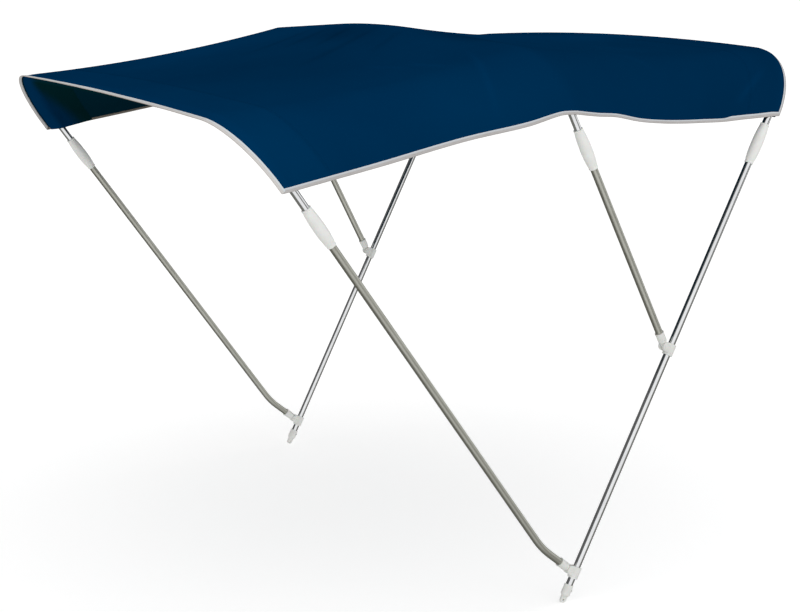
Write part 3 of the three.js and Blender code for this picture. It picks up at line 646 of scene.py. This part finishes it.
# Where the clamping screws sit: the middle, the boss's radius and reach, and the hole's radius and floor
SLIDE_SCREW = {"at": (0.0015, 0, -0.0125), "boss": (0.0042, 0.0172), "hole": (0.0025, 0.0158)}
SOCKET_SCREW = {"at": (0, 0, 0.0235), "boss": (0.0034, SOCKET_RADIUS + 0.0004),
                "hole": (0.0019, SOCKET_RADIUS - 0.0009)}


def screw_rods(screw, outboard):
    """A boss and a hole for it. outboard is -1 or 1, the side of Y on which the screw sits."""
    radius, reach = screw["boss"]
    boss = rod(radius, 0, outboard * reach, "Y", 40, screw["at"])
    radius, floor = screw["hole"]
    return boss, rod(radius, outboard * floor, outboard * CLEAR_ACROSS, "Y", 32, screw["at"])


def slide_mesh(outboard):
    pivot = (-PIVOT_OFFSET, 0, 0)
    body = plate([(0, -CHEEK_RADIUS), (0, CHEEK_RADIUS)] + arc(-PIVOT_OFFSET, CHEEK_RADIUS, 90, 270),
                 CHEEK_HALF_SPAN)
    sleeve = rod(SLIDE_RADIUS, SLIDE_BOTTOM, SLIDE_TOP)
    faces = (-CHEEK_HALF_SPAN, CHEEK_HALF_SPAN)
    bosses = [rod(BOSS_RADIUS, face - BOSS_RISE, face + BOSS_RISE, "Y", 64, pivot) for face in faces]
    screw_boss, screw_hole = screw_rods(SLIDE_SCREW, outboard)
    combine(body, [sleeve, screw_boss, *bosses], "UNION")
    slot = plate([(-0.06, -0.04), (-SLOT_FLOOR, -0.04), (-SLOT_FLOOR, 0.04), (-0.06, 0.04)], SLOT_HALF_WIDTH)
    bore = rod(SLEEVE_BORE, -CLEAR_ALONG, CLEAR_ALONG)
    dishes = [rod(PIN_HEAD_RADIUS + BOSS_RISE, face - BOSS_RISE / 2, end, "Y", 64, pivot)
              for face, end in zip(faces, (-CLEAR_ACROSS, CLEAR_ACROSS))]
    combine(body, [bore, slot, screw_hole, *dishes], "DIFFERENCE")
    return soften(body, 0.7 * MM)


def leg_end_mesh(outboard):
    """The leg end's axis is Z, with the pivot at the origin."""
    body = tongue(TANG_RADIUS, TANG_TOP, TANG_HALF)
    socket = lathe([
        (0, SOCKET_START), (0.0098, SOCKET_START), (0.0122, SOCKET_START + 0.0014),
        (SOCKET_RADIUS - 0.0004, SOCKET_START + 0.0045), (SOCKET_RADIUS, 0.0445), (SOCKET_LIP, 0.0452),
        (SOCKET_LIP, SOCKET_END), (0, SOCKET_END)], 64)
    screw_boss, screw_hole = screw_rods(SOCKET_SCREW, outboard)
    combine(body, [socket, screw_boss], "UNION")
    combine(body, [rod(SLEEVE_BORE, SOCKET_BORE_START, BORE_END), screw_hole], "DIFFERENCE")
    return soften(body, 0.5 * MM)


def pin_mesh():
    """A domed head with a dimple on each side of the cheeks."""
    end = CHEEK_HALF_SPAN
    head = [(0.0030, end - 0.0002), (PIN_HEAD_RADIUS, end - 0.0002), (PIN_HEAD_RADIUS, end + 0.0009),
            (0.0063, end + 0.0015), (0.0054, end + 0.0019), (0.0042, end + 0.0017), (0.0026, end + 0.0010),
            (0.0, end + 0.0007)]
    return shade(lathe([(r, -z) for r, z in reversed(head)] + head, 48, "Y"))


def make_knuckles():
    low = FRONT_KNEE - PIVOTS["lower"]
    leg_tilts = {"lower": atan2(low[0], low[1]) / DEGREE, "upper": BOWS["middle"]["tilt"]}
    for side, y in SIDES:
        outboard = -1 if y < 0 else 1
        for place, height in SLIDE_HEIGHTS.items():
            pivot = PIVOTS[place]
            for part, mesh, node, at, tilt in (
                    ("slide", slide_mesh(outboard), "slide", MAIN_DIRECTION * height, MAIN_TILT),
                    ("socket", leg_end_mesh(outboard), "leg_end", pivot, leg_tilts[place]),
                    ("pin", pin_mesh(), "pivot_pin", pivot, MAIN_TILT)):
                piece = stand(mesh, f"{place}_knuckle_{part}_{side}", at, y, tilt)
                dress(piece, FITTING_NYLON, "nylon_fitting", f"{place}_{node}_{side}")


# Eye ends

EYE_RADIUS = 0.0095
EYE_TOP = 0.014
EYE_HALF = 0.004
EYE_HOLE = 0.0035
EYE_BARREL_RADIUS = 0.014
EYE_BARREL_TOP = 0.048
EYE_BORE_START = 0.018
SCREW_HEIGHT = 0.034
SCREW_TURN = -56
# Radius, inner end and outer end of each, out from the leg's axis
SCREW_BOSS = (0.0044, 0, 0.0152)
SCREW_HOLE = (0.0027, 0.011, CLEAR_ACROSS)
SET_SCREW = (0.0024, 0.0116, 0.0146)
SCREW_HEXAGON = (0.0013, 0.0133, 0.02)


def turned(obj):
    """From pointing along X at the origin to pointing outwards where the set screw sits."""
    turn = Matrix.Rotation(SCREW_TURN * DEGREE, 4, "Z")
    obj.data.transform(turn @ Matrix.Translation((0, 0, SCREW_HEIGHT)))
    return obj


def eye_end_mesh():
    body = tongue(EYE_RADIUS, EYE_TOP, EYE_HALF)
    barrel = lathe([
        (0, 0.013), (0.0105, 0.013), (0.0118, 0.0138), (EYE_BARREL_RADIUS, 0.0172),
        (EYE_BARREL_RADIUS, EYE_BARREL_TOP - 0.001), (EYE_BARREL_RADIUS - 0.001, EYE_BARREL_TOP),
        (0, EYE_BARREL_TOP)], 64)
    combine(body, [barrel, turned(rod(*SCREW_BOSS, "X", 32))], "UNION")
    bore = rod(SLEEVE_BORE, EYE_BORE_START, BORE_END)
    hole = rod(EYE_HOLE, -0.02, 0.02, "Y", 40)
    combine(body, [bore, hole, turned(rod(*SCREW_HOLE, "X", 32))], "DIFFERENCE")
    return soften(body, 0.6 * MM)


def set_screw_mesh():
    """A grub screw with a hexagon socket."""
    body = combine(rod(*SET_SCREW, "X", 32), [rod(*SCREW_HEXAGON, "X", 6)], "DIFFERENCE")
    return shade(turned(body))


def make_eye_ends():
    for side, y in SIDES:
        eye = stand(eye_end_mesh(), f"eye_end_fitting_{side}", (0, 0), y, MAIN_TILT)
        dress(eye, FITTING_NYLON, "nylon_fitting", f"eye_end_{side}")
        screw = stand(set_screw_mesh(), f"eye_set_screw_{side}", (0, 0), y, MAIN_TILT)
        dress(screw, STEEL, "screw_steel", f"set_screw_{side}")


# Cloth. Its surface is a grid: rows run round the girth from port hem to starboard hem, and
# follow each other from the front edge to the rear edge. A row's station is -1 at the front
# edge, 0 at the front bow, 1 at the middle bow, 2 at the main bow and 3 at the rear edge.

STATION_BOWS = ("front", "middle", "main")
OVERHANG_ROWS = 8
# Shares of a span from row to row: close to a bow or a seam, near a bow and elsewhere
CLOSE_STEP, NEAR_STEP, OPEN_STEP = 0.004, 0.0085, 0.0095
CLOSE_TO_BOW, CLOSE_TO_SEAM, NEAR_BOW = 0.03, 0.015, 0.16


def cloth_stations(shifts=(0.0, 0.0)):
    """Centre points of the three bows under the cloth, with the directions aft and outwards."""
    lines = [bow_line(bow, *np.add(BOWS[bow]["edges"], shifts), CLOTH_STEPS) for bow in STATION_BOWS]
    ahead = [unit(lines[1] - lines[0]), unit(lines[2] - lines[1])]
    afts = [ahead[0], unit(ahead[0] + ahead[1]), ahead[1]]
    return [{"centre": line, "aft": aft, "outward": unit(np.cross(aft, np.gradient(line, axis=0)))}
            for line, aft in zip(lines, afts)]


def girths():
    """Girth of each column, from -1 at the port hem through 0 at the crown to 1."""
    lengths = run_length(cloth_stations()[2]["centre"])
    return 2 * lengths / lengths[-1] - 1


def smooth_step(value, low, high):
    t = np.clip((value - low) / (high - low), 0, 1)
    return t * t * (3 - 2 * t)


GIRTH = girths()
COLUMNS = len(GIRTH)
GIRTH_LENGTH = 2.135
# For each column: its distance from the nearer hem, how far it stands off the bows' middles and how
# much of the hem's hang it takes
FROM_HEM = (1 - np.abs(GIRTH)) * GIRTH_LENGTH / 2
LIFT = HEM_LIFT + (CLOTH_LIFT - HEM_LIFT) * smooth_step(FROM_HEM, 0.01, 0.06)
HEM_WEIGHT = 1 - smooth_step(FROM_HEM, 0.02, 0.17)


def at_girth(values):
    return np.interp(GIRTH, GIRTH_KEYS, values)


def smooth_through(keys, place):
    """The value at a place on a smooth line through keys, each a (place, value)."""
    places, values = zip(*keys)
    i = min(max(1, sum(p <= place for p in places)), len(keys) - 1)

    def slope(k):
        low, high = max(k - 1, 0), min(k + 1, len(keys) - 1)
        return (values[high] - values[low]) / (places[high] - places[low])

    width = places[i] - places[i - 1]
    t = (place - places[i - 1]) / width
    return ((1 + 2 * t) * (1 - t) ** 2 * values[i - 1] + t * (1 - t) ** 2 * width * slope(i - 1)
            + t * t * (3 - 2 * t) * values[i] - t * t * (1 - t) * width * slope(i))


def span_point(stations, span, share):
    """The cloth between two bows, for all columns at once."""
    near, far = stations[span], stations[span + 1]
    start = near["centre"] + near["outward"] * LIFT[:, None]
    end = far["centre"] + far["outward"] * LIFT[:, None]
    outward = unit(near["outward"] * (1 - share) + far["outward"] * share)
    s = SPANS[span]
    drops = [smooth_through(keys, share) for keys in s["hems"]]
    point = start * (1 - share) + end * share
    point = point - outward * (4 * share * (1 - share) * at_girth(s["drawn"]))[:, None]
    point[:, 2] -= HEM_WEIGHT * np.where(GIRTH < 0, *drops)
    return point


def overhang_point(stations, end, share):
    """Past an end bow the cloth runs on, and droops towards its edge."""
    station, sign, base = ((stations[0], -1, span_point(stations, 0, 0.0)) if end == "front" else
                           (stations[2], 1, span_point(stations, 1, 1.0)))
    reach = at_girth(OVERHANGS[end]["reach"])
    droop = at_girth(OVERHANGS[end]["droop"])
    along = station["aft"] * (sign * reach * share)[:, None]
    return base + along - station["outward"] * (droop * share * share)[:, None]


def row_at(stations, place):
    if place < 0:
        return overhang_point(stations, "front", -place)
    if place > 2:
        return overhang_point(stations, "rear", place - 2)
    span = 0 if place < 1 else 1
    return span_point(stations, span, place - span)


def cloth_places():
    """Stations of the rows: closer together near the bows, the seams and the edges."""
    places = [-1 + i / OVERHANG_ROWS for i in range(OVERHANG_ROWS)]
    for span in (0, 1):
        steps = [0.0]
        while steps[-1] < 1:
            nearest = min(steps[-1], 1 - steps[-1])
            step = NEAR_STEP if nearest < NEAR_BOW else OPEN_STEP
            if nearest < CLOSE_TO_BOW or abs(nearest - POCKET_WIDTH) < CLOSE_TO_SEAM:
                step = CLOSE_STEP
            steps.append(steps[-1] + step)
        places += [span + s / steps[-1] for s in steps[:-1]]
    return places + [2 + i / OVERHANG_ROWS for i in range(OVERHANG_ROWS + 1)]


# Creases: from one (girth, place) to another, half width in metres, how far the cloth stands
# in, so that a ridge is negative, and how much lighter it looks
# The last column is painted light on the ridges and painted shade in the troughs
CREASES = [
    ((-0.62, 0.90), (-0.97, 0.735), 0.011, -0.0016, 0.09),
    ((-0.57, 0.72), (-0.72, 0.765), 0.013, -0.0012, 0.08),
    ((-0.48, 0.63), (-0.62, 0.70), 0.012, -0.0009, 0.06),
    ((0.36, 0.95), (0.15, 0.56), 0.017, 0.0014, -0.13),
    ((0.25, 0.97), (0.08, 0.66), 0.015, 0.0016, -0.12),
    ((0.12, 0.98), (-0.06, 0.68), 0.015, 0.0013, -0.10),
    ((-0.03, 0.98), (-0.27, 0.50), 0.020, 0.0018, -0.12),
    ((-0.18, 0.97), (-0.33, 0.74), 0.016, 0.0012, -0.09),
    ((-0.62, 1.34), (-0.86, 1.47), 0.018, -0.0012, 0.05),
    ((-0.45, 1.52), (-0.70, 1.60), 0.020, -0.0014, 0.05),
    ((-0.30, 1.22), (-0.50, 1.36), 0.018, 0.0012, -0.06),
    ((-0.95, 1.80), (-0.84, 1.95), 0.012, -0.0009, 0.12),
]

# Patches of painted light and shade: round a (girth, place), how far they reach and how much lighter
LIGHT_AND_SHADE_PATCHES = [
    ((-0.75, -0.30), (0.30, 0.45), 0.07),
    ((0.60, -0.20), (0.20, 0.40), -0.18),
    ((-0.85, 0.50), (0.28, 0.50), 0.04),
    ((-0.12, 0.42), (0.34, 0.36), -0.11),
    ((0.52, 0.52), (0.17, 0.34), 0.16),
    ((0.05, 0.89), (0.17, 0.11), -0.20),
    ((-0.43, 1.02), (0.16, 0.055), -0.34),
    ((-0.98, 1.75), (0.12, 0.20), -0.06),
    ((-0.70, 1.97), (0.25, 0.05), -0.08),
    ((-0.08, 1.78), (0.16, 0.22), 0.16),
    ((-0.22, 1.38), (0.20, 0.30), 0.07),
]
SPAN_LENGTH = 0.95
SEAMS = {"front": POCKET_WIDTH, "rear": 2 - POCKET_WIDTH}
SEAM_DENT = 0.5 * MM
SEAM_DENT_WIDTH = 5 * MM
# Painted light and shade by rows, over the front pocket, ahead of the front bow and aft of the middle bow:
# before and after the two places between which they turn
ROW_PAINTED_LIGHT = [
    (0.07, 0, POCKET_WIDTH - 0.02, POCKET_WIDTH + 0.01),
    (0.05, 0, -0.35, 0.02),
    (0, -0.07, 0.99, 1.06),
]
UNDERSIDE_SHADE = 0.82


def crease_weight(start, end, width, places):
    """1 along the crease's middle, for each row and column, fading to its sides and its ends."""
    size = np.array([GIRTH_LENGTH / 2, SPAN_LENGTH])
    start, end = np.array(start) * size, np.array(end) * size
    length = np.linalg.norm(end - start)
    along = (end - start) / length
    u = GIRTH[None, :] * size[0] - start[0]
    v = places[:, None] * size[1] - start[1]
    share = (u * along[0] + v * along[1]) / length
    aside = (v * along[0] - u * along[1]) / width
    return np.exp(-aside ** 2) * smooth_step(share, -0.08, 0.25) * smooth_step(1 - share, -0.08, 0.4)


def painted_cloth_light(places):
    # Painted light and shade over the cloth, summed from the patches, the creases and the rows
    painted_light = np.zeros((len(places), COLUMNS))
    for at, reach, lighter in LIGHT_AND_SHADE_PATCHES:
        u = (GIRTH[None, :] - at[0]) / reach[0]
        v = (places[:, None] - at[1]) / reach[1]
        painted_light += lighter * np.exp(-u * u - v * v)
    for start, end, width, _, lighter in CREASES:
        painted_light += lighter * crease_weight(start, end, width, places)
    for before, after, low, high in ROW_PAINTED_LIGHT:
        painted_light += (before + (after - before) * smooth_step(places, low, high))[:, None]
    return painted_light


def round_ridges(grid, places):
    """Rounds the folds where the cloth passes over a bow."""
    grid = grid.copy()
    for station in (0.0, 1.0, 2.0):
        row = int(np.argmin(np.abs(places - station)))
        half_turn = (unit(grid[row + 1] - grid[row]) - unit(grid[row] - grid[row - 1])) / 2
        distance = np.linalg.norm(grid - grid[row], axis=2)
        near = np.clip(RIDGE_ROUNDING - distance, 0, None)
        grid += half_turn * (near ** 2 / (2 * RIDGE_ROUNDING))[:, :, None]
    return grid


def sheet_normals(grid):
    return unit(np.cross(np.gradient(grid, axis=0), np.gradient(grid, axis=1)))


def upward(normals):
    """The canopy's normals, turned to point up at its middle."""
    rows, columns = normals.shape[:2]
    return normals * np.sign(normals[rows // 2, columns // 2, 2])


def cloth_grid():
    stations = cloth_stations()
    places = np.array(cloth_places())
    grid = round_ridges(np.array([row_at(stations, p) for p in places]), places)
    outward = upward(sheet_normals(grid))
    for start, end, width, depth, _ in CREASES:
        grid = grid - outward * (depth * crease_weight(start, end, width, places))[:, :, None]
    for seam in SEAMS.values():
        dent = SEAM_DENT * np.exp(-((places - seam) * SPAN_LENGTH / SEAM_DENT_WIDTH) ** 2)
        grid = grid - outward * dent[:, None, None]
    return places, grid


def sheet_object(name, grid, thickness):
    """A closed sheet of even thickness round a grid of middle points, with UVs in metres."""
    rows, columns = grid.shape[:2]
    half = rows * columns
    swell = sheet_normals(grid) * thickness / 2
    vertices = np.concatenate([(grid + swell).reshape(-1, 3), (grid - swell).reshape(-1, 3)])
    along = np.linalg.norm(np.diff(grid, axis=0), axis=2).mean(axis=1)
    around = np.linalg.norm(np.diff(grid, axis=1), axis=2).mean(axis=0)
    v = np.concatenate([[0], np.cumsum(along)])
    u = np.concatenate([[0], np.cumsum(around)])
    uv = np.stack(np.meshgrid(u - u[columns // 2], v), axis=2).reshape(-1, 2)
    outer = bands(rows, columns, closed=False)
    faces = outer + [tuple(half + i for i in face) for face in outer]
    rim = list(range(columns - 1))
    rim += [r * columns + columns - 1 for r in range(rows - 1)]
    rim += [(rows - 1) * columns + c for c in range(columns - 1, 0, -1)]
    rim += [r * columns for r in range(rows - 1, 0, -1)]
    faces += [(a, b, half + b, half + a) for a, b in zip(rim, rim[1:] + rim[:1])]
    return shade(face_outward(mesh_object(name, vertices, faces, np.concatenate([uv, uv]))), 60)


def mark(obj, name, *sides):
    """Keeps a value for each vertex of a sheet's first and second side."""
    values = np.concatenate([np.ravel(side) for side in sides])
    obj.data.attributes.new(name, "FLOAT", "POINT").data.foreach_set("value", values)


def make_canopy(places, grid):
    canopy = dress(sheet_object("canopy_cloth", grid, CLOTH_THICKNESS), CANVAS, "canvas", "canopy")
    painted_light = painted_cloth_light(places)
    order = 1 if sheet_normals(grid)[len(places) // 2, COLUMNS // 2, 2] > 0 else -1
    # Painted light and shade on the outer side only
    mark(canopy, "painted_light", *(painted_light, painted_light * 0)[::order])
    # Painted shade: the underside turns towards the shadow colour by UNDERSIDE_SHADE
    mark(canopy, "shade", *(painted_light * 0, painted_light * 0 + UNDERSIDE_SHADE)[::order])
    return canopy


# Edge binding: a U of tape folded over the cloth's edge and sewn through

ROOM_MIDDLE = np.array([-0.1, 0.0, 0.6])
INNER_LEG = 0.62
# The tape's legs lie further than this from the cloth's middle
LEG_RISE = CLOTH_THICKNESS / 2 + 0.4 * MM
STITCH_LINE = 0.0052
SIDE_TAPE_SETBACK = 1.0 * MM
TAPE_SPACING = 4 * MM
# widths are shares of the full width, at shares of the tape's length from the front or from port
BINDINGS = {
    "front_binding": {"material": LIT_FRONT_TAPE, "wall": BINDING_WALL,
                      "widths": [(0, 0.95), (0.25, 0.85), (0.45, 0.74), (0.8, 0.74), (0.86, 1.1), (1, 1.1)]},
    "rear_binding": {"material": TAPE, "wall": BINDING_WALL, "widths": [(0, 0.9), (1, 0.9)]},
    "port_binding": {"material": TAPE, "wall": SIDE_WALL,
                     "widths": [(0, 1), (0.46, 1), (0.54, 0.74), (0.875, 0.74), (0.89, 1.05), (1, 1)]},
    "starboard_binding": {"material": TAPE, "wall": SIDE_WALL, "widths": [(0, 0.9), (0.5, 1), (1, 0.9)]},
}
# Waves of the tape's legs and of its cut edge: height, and wavelength divided by two pi
PUCKER = (0.12 * MM, 0.0052)
RIPPLE = (0.1 * MM, 0.031)
WANDER = (0.3 * MM, 0.083)
STITCH_PITCH = 4.2 * MM
STITCH_LENGTH = 3.0 * MM
THREAD_RADIUS = 0.26 * MM
THREAD_SIDES = 5
SEAM_ROW_SHIFT = 3.2 * MM


def binding_section(wall):
    """Points round the tape's section as (out, up): out along the cloth past its edge, up off it."""
    inner = CLOTH_THICKNESS / 2 + 0.1 * MM
    outer = inner + wall
    middle = (inner + outer) / 2
    lip = -BINDING_WIDTH
    under = lip * INNER_LEG
    nose = 0.3 * MM
    points = [(lip, inner), (lip - 0.1 * MM, middle), (lip + 0.3 * MM, outer), (lip * 0.6, outer),
              (lip * 0.3, outer)]
    points += [(nose + outer * cos(a * DEGREE) * 0.8, outer * sin(a * DEGREE))
               for a in (80, 55, 30, 0, -30, -55, -80)]
    points += [(under * 0.3, -outer), (under * 0.6, -outer), (under + 0.3 * MM, -outer),
               (under - 0.1 * MM, -middle), (under, -inner)]
    return points + [(nose * 0.5, -inner), (nose, 0), (nose * 0.5, inner)]


def stitch_row(name, points, normal, material, slot):
    """A row of stitches along a line, each a short thread whose ends dip into the cloth."""
    lengths = run_length(points)
    at = np.arange(STITCH_PITCH, lengths[-1] - STITCH_PITCH, STITCH_PITCH)
    ahead = unit(sample(np.gradient(points, axis=0), at, lengths)) * STITCH_LENGTH
    turns = [2 * pi * k / THREAD_SIDES for k in range(THREAD_SIDES)]
    vertices, faces = [], []
    for middle, up, along in zip(sample(points, at, lengths), sample(normal, at, lengths), ahead):
        side = np.cross(up, along / STITCH_LENGTH)
        base = len(vertices)
        vertices.append(middle - along / 2 - up * THREAD_RADIUS)
        for share in (-0.3, 0.3):
            vertices += [middle + along * share + (up * cos(t) + side * sin(t)) * THREAD_RADIUS
                         for t in turns]
        vertices.append(middle + along / 2 - up * THREAD_RADIUS)
        for k in range(THREAD_SIDES):
            a, b = base + 1 + k, base + 1 + (k + 1) % THREAD_SIDES
            c, d = a + THREAD_SIDES, b + THREAD_SIDES
            faces += [(base, b, a), (a, b, d, c), (len(vertices) - 1, c, d)]
    return dress(shade(face_outward(mesh_object(name, vertices, faces)), 80), material, slot)


def binding(node, edge, inside):
    """The tape over one edge, with a row of stitches on each side. inside is a line on the cloth
    beside its edge."""
    made = BINDINGS[node]
    lengths = run_length(edge)
    at = np.linspace(0, lengths[-1], int(round(lengths[-1] / TAPE_SPACING)) + 1)
    points = sample(edge, at, lengths)
    along = unit(np.gradient(points, axis=0))
    off = points - sample(inside, at, lengths)
    off = unit(off - along * np.sum(off * along, axis=1, keepdims=True))
    normal = np.cross(off, along)
    middle = len(points) // 2
    if np.dot(normal[middle], points[middle] - ROOM_MIDDLE) < 0:
        normal = -normal
    section = binding_section(made["wall"])
    width = np.interp(at / at[-1], *zip(*made["widths"]))
    rng = random.Random(node)
    phase = [rng.uniform(0, 2 * pi) for _ in range(3)]
    vertices, uv = [], []
    for p, o, n, s, w in zip(points, off, normal, at, width):
        pucker, ripple, wander = (height * sin(s / length + turn)
                                  for (height, length), turn in zip((PUCKER, RIPPLE, WANDER), phase))
        for k, (out, up) in enumerate(section):
            swell = (pucker + ripple) * (abs(up) > LEG_RISE) * (1 if up > 0 else -1)
            shift = wander if out < -0.5 * BINDING_WIDTH else 0
            vertices.append(p + o * (out * (w if out < 0 else 1) + shift) + n * (up + swell))
            uv.append((s, (k + 1) * SECTION_STEP))
    ring = len(section)
    faces = bands(len(points), ring)
    faces += [tuple(range(row * ring, (row + 1) * ring)) for row in (0, len(points) - 1)]
    tape = face_outward(mesh_object(f"{node}_tape", vertices, faces, uv))
    pieces = [dress(shade(tape, 50), made["material"], "edge_tape", node)]
    line = points - off * (STITCH_LINE * width)[:, None]
    rise = CLOTH_THICKNESS / 2 + made["wall"] + 0.2 * MM
    for side, up in (("outer", normal), ("inner", -normal)):
        pieces.append(stitch_row(f"{node}_{side}_stitches", line + up * rise, up, GREY_THREAD, "edge_tape"))
    return pieces


def make_bindings(grid):
    pieces = binding("front_binding", grid[0], grid[2]) + binding("rear_binding", grid[-1], grid[-3])
    for node, column, inner in (("port_binding", 0, 2), ("starboard_binding", -1, -3)):
        lengths = run_length(grid[:, column])
        start, end = SIDE_TAPE_SETBACK, lengths[-1] - SIDE_TAPE_SETBACK
        at = np.array([start, *lengths[(lengths > start) & (lengths < end)], end])
        pieces += binding(node, sample(grid[:, column], at, lengths), sample(grid[:, inner], at, lengths))
    return pieces


def make_seams(places, grid):
    """Two rows of navy stitches over the inner edge of each pocket."""
    normal = upward(sheet_normals(grid))
    clear = FROM_HEM > BINDING_WIDTH + 3 * MM
    pieces = []
    for end, seam in SEAMS.items():
        for row, shift in enumerate((-SEAM_ROW_SHIFT, SEAM_ROW_SHIFT)):
            place = seam + shift / SPAN_LENGTH
            after = int(np.searchsorted(places, place))
            share = (place - places[after - 1]) / (places[after] - places[after - 1])
            line = grid[after - 1] * (1 - share) + grid[after] * share
            line = line + normal[after] * (CLOTH_THICKNESS / 2 + 0.1 * MM)
            pieces.append(stitch_row(f"{end}_seam_{row}", line[clear], normal[after][clear], NAVY_THREAD,
                                     "canvas"))
    return pieces


# Pockets that hold the end bows

# Across the pocket from the edge inwards: ahead of the bow's middle towards the edge, and across
# from the bow's middle outwards
POCKET_UNDER = [(0.016, -0.0070), (0.009, -0.0125), (0.0, -0.0142), (-0.009, -0.0128), (-0.018, -0.0085)]
POCKET_GAP = 0.3 * MM
# Daylight reaches each pocket from this girth on, and at the hems over this share of its width
LIT_GIRTH, LIT_SHARE = 0.65, 0.75


def pocket_grid(end):
    at_bow = cloth_stations(POCKET_SHIFTS[end])
    at_seam = cloth_stations([max(shift, 0) for shift in POCKET_SHIFTS[end]])
    station, sign, span, seam = ((at_bow[0], -1, 0, POCKET_WIDTH) if end == "front" else
                                 (at_bow[2], 1, 1, 1 - POCKET_WIDTH))
    clear = (CLOTH_THICKNESS + POCKET_THICKNESS) / 2 + POCKET_GAP
    clear = np.where(FROM_HEM < BINDING_WIDTH, clear + BINDING_WALL + POCKET_GAP, clear)[:, None]
    share = 1 - (BINDING_WIDTH + POCKET_SETBACK) / at_girth(OVERHANGS[end]["reach"])
    rows = [overhang_point(at_bow, end, share) - station["outward"] * clear]
    for ahead, across in POCKET_UNDER:
        rows.append(station["centre"] + station["outward"] * across + station["aft"] * (sign * ahead))
    seam_row = span_point(at_seam, span, seam) - station["outward"] * clear
    return np.array(rows + [rows[-1] * (1 - t) + seam_row * t for t in (0.2, 0.4, 0.6, 0.8, 1.0)])


def make_pockets():
    for end, bow in (("front", "front"), ("rear", "main")):
        grid = pocket_grid(end)
        obj = sheet_object(f"{end}_pocket_cloth", grid, POCKET_THICKNESS)
        dress(obj, CANVAS, "canvas", f"{end}_pocket")
        across = np.arange(len(grid))[:, None] / (len(grid) - 1)
        lit = np.clip((np.abs(GIRTH) - LIT_GIRTH) / (1 - LIT_GIRTH), 0, 1)[None, :] * LIT_SHARE
        shaded = smooth_step(across - lit, -0.2, 0.12)
        mark(obj, "shade", shaded, shaded)


# Stage

FLOOR_HEIGHT = -0.0105
FLOOR_REACH = 150.0
FLOOR_GLOW = 0.47

# Directions from which light comes. The key is broad and stands on the port side.
KEY_DIRECTION = (-0.12, -0.99, -0.04)
AMBIENT = 0.75
KEY_SHARE = 0.42
FLOOR_TINT = (0.82, 0.82, 0.8, 1)
# Height of the directions over which the floor's light gives way to the walls'
HORIZON = (-0.12, 0.04)
# Metal reflects a softbox beside the camera, one aft, one behind the frame and one high up. Each has
# a direction, half angle and soft edge in degrees, and a strength.
SOFTBOXES = [
    ((-0.40, -0.87, -0.10), 50, 9, 1.05),
    ((0.954, -0.20, 0.25), 32, 14, 0.95),
    ((0.491, 0.844, -0.215), 24, 8, 0.9),
    ((0.72, -0.35, 0.52), 34, 20, 0.85),
]
WALLS_SEEN_IN_METAL = (0.12, 0.12, 0.12, 1)
FLOOR_SEEN_IN_METAL = (0.20, 0.20, 0.18, 1)
WHITE = (1, 1, 1, 1)


def make_floor():
    """Pale from above and clear from below, so that it doesn't hide the underside."""
    shader = Shader("pale_floor", Roughness=0.9, Specular_IOR_Level=0.1, Emission_Strength=FLOOR_GLOW,
                    Emission_Color=WHITE, Base_Color=(0.88, 0.88, 0.88, 1))
    below = shader.add("ShaderNodeNewGeometry").outputs["Backfacing"]
    clear = shader.add("ShaderNodeBsdfTransparent").outputs[0]
    seen = shader.add("ShaderNodeMixShader", i0=below, i1=shader.surface.outputs[0], i2=clear).outputs[0]
    shader.join(seen, shader.tree.nodes["Material Output"].inputs["Surface"])
    r = FLOOR_REACH
    floor = mesh_object("floor", [(x, y, FLOOR_HEIGHT) for x, y in ((-r, -r), (r, -r), (r, r), (-r, r))],
                        [(0, 1, 2, 3)])
    floor.data.materials.append(shader.material)
    floor.visible_glossy = False
    floor.visible_diffuse = False


def make_world():
    world = bpy.data.worlds.new("studio")
    world.use_nodes = True
    bpy.context.scene.world = world
    nodes = Nodes(world.node_tree)
    towards = nodes.add("ShaderNodeTexCoord").outputs["Generated"]
    height = nodes.add("ShaderNodeSeparateXYZ", Vector=towards).outputs[2]
    above = nodes.remap(height, *HORIZON, 0, 1)

    def along(line):
        return nodes.add("ShaderNodeVectorMath", {"operation": "DOT_PRODUCT"}, i0=towards,
                         i1=Vector(line).normalized()).outputs["Value"]

    def grey(value):
        return nodes.add("ShaderNodeCombineColor", Red=value, Green=value, Blue=value).outputs[0]

    key = nodes.math("MULTIPLY_ADD", along(KEY_DIRECTION), KEY_SHARE, AMBIENT)
    soft = nodes.mix(above, FLOOR_TINT, grey(nodes.math("MAXIMUM", key, 0.05)))
    boxes = 0.0
    for box, half_angle, edge, strength in SOFTBOXES:
        inner, outer = (cos((half_angle + side * edge / 2) * DEGREE) for side in (-1, 1))
        boxes = nodes.math("MAXIMUM", boxes, nodes.remap(along(box), outer, inner, 0, strength))
    around = nodes.mix(above, FLOOR_SEEN_IN_METAL, WALLS_SEEN_IN_METAL)
    seen = nodes.mix(1.0, around, grey(boxes), "LIGHTEN")

    rays = nodes.add("ShaderNodeLightPath")
    color = nodes.mix(rays.outputs["Is Glossy Ray"], soft, seen)
    color = nodes.mix(rays.outputs["Is Camera Ray"], color, WHITE)
    nodes.join(color, world.node_tree.nodes["Background"].inputs["Color"])


def make_camera():
    data = bpy.data.cameras.new("camera")
    data.lens = CAMERA_LENS
    data.sensor_width = 36
    data.clip_end = 500
    camera = bpy.data.objects.new("camera", data)
    camera.location = CAMERA_PLACE
    camera.rotation_euler = (CAMERA_PITCH * DEGREE, 0, CAMERA_YAW * DEGREE)
    bpy.context.scene.collection.objects.link(camera)
    bpy.context.scene.camera = camera


make_camera()
make_tubes()
make_grips()
make_knuckles()
make_eye_ends()
places, grid = cloth_grid()
canopy = make_canopy(places, grid)
sewn_on = make_bindings(grid) + make_seams(places, grid)
make_pockets()
make_floor()
make_world()
bpy.context.scene.view_settings.view_transform = "Standard"
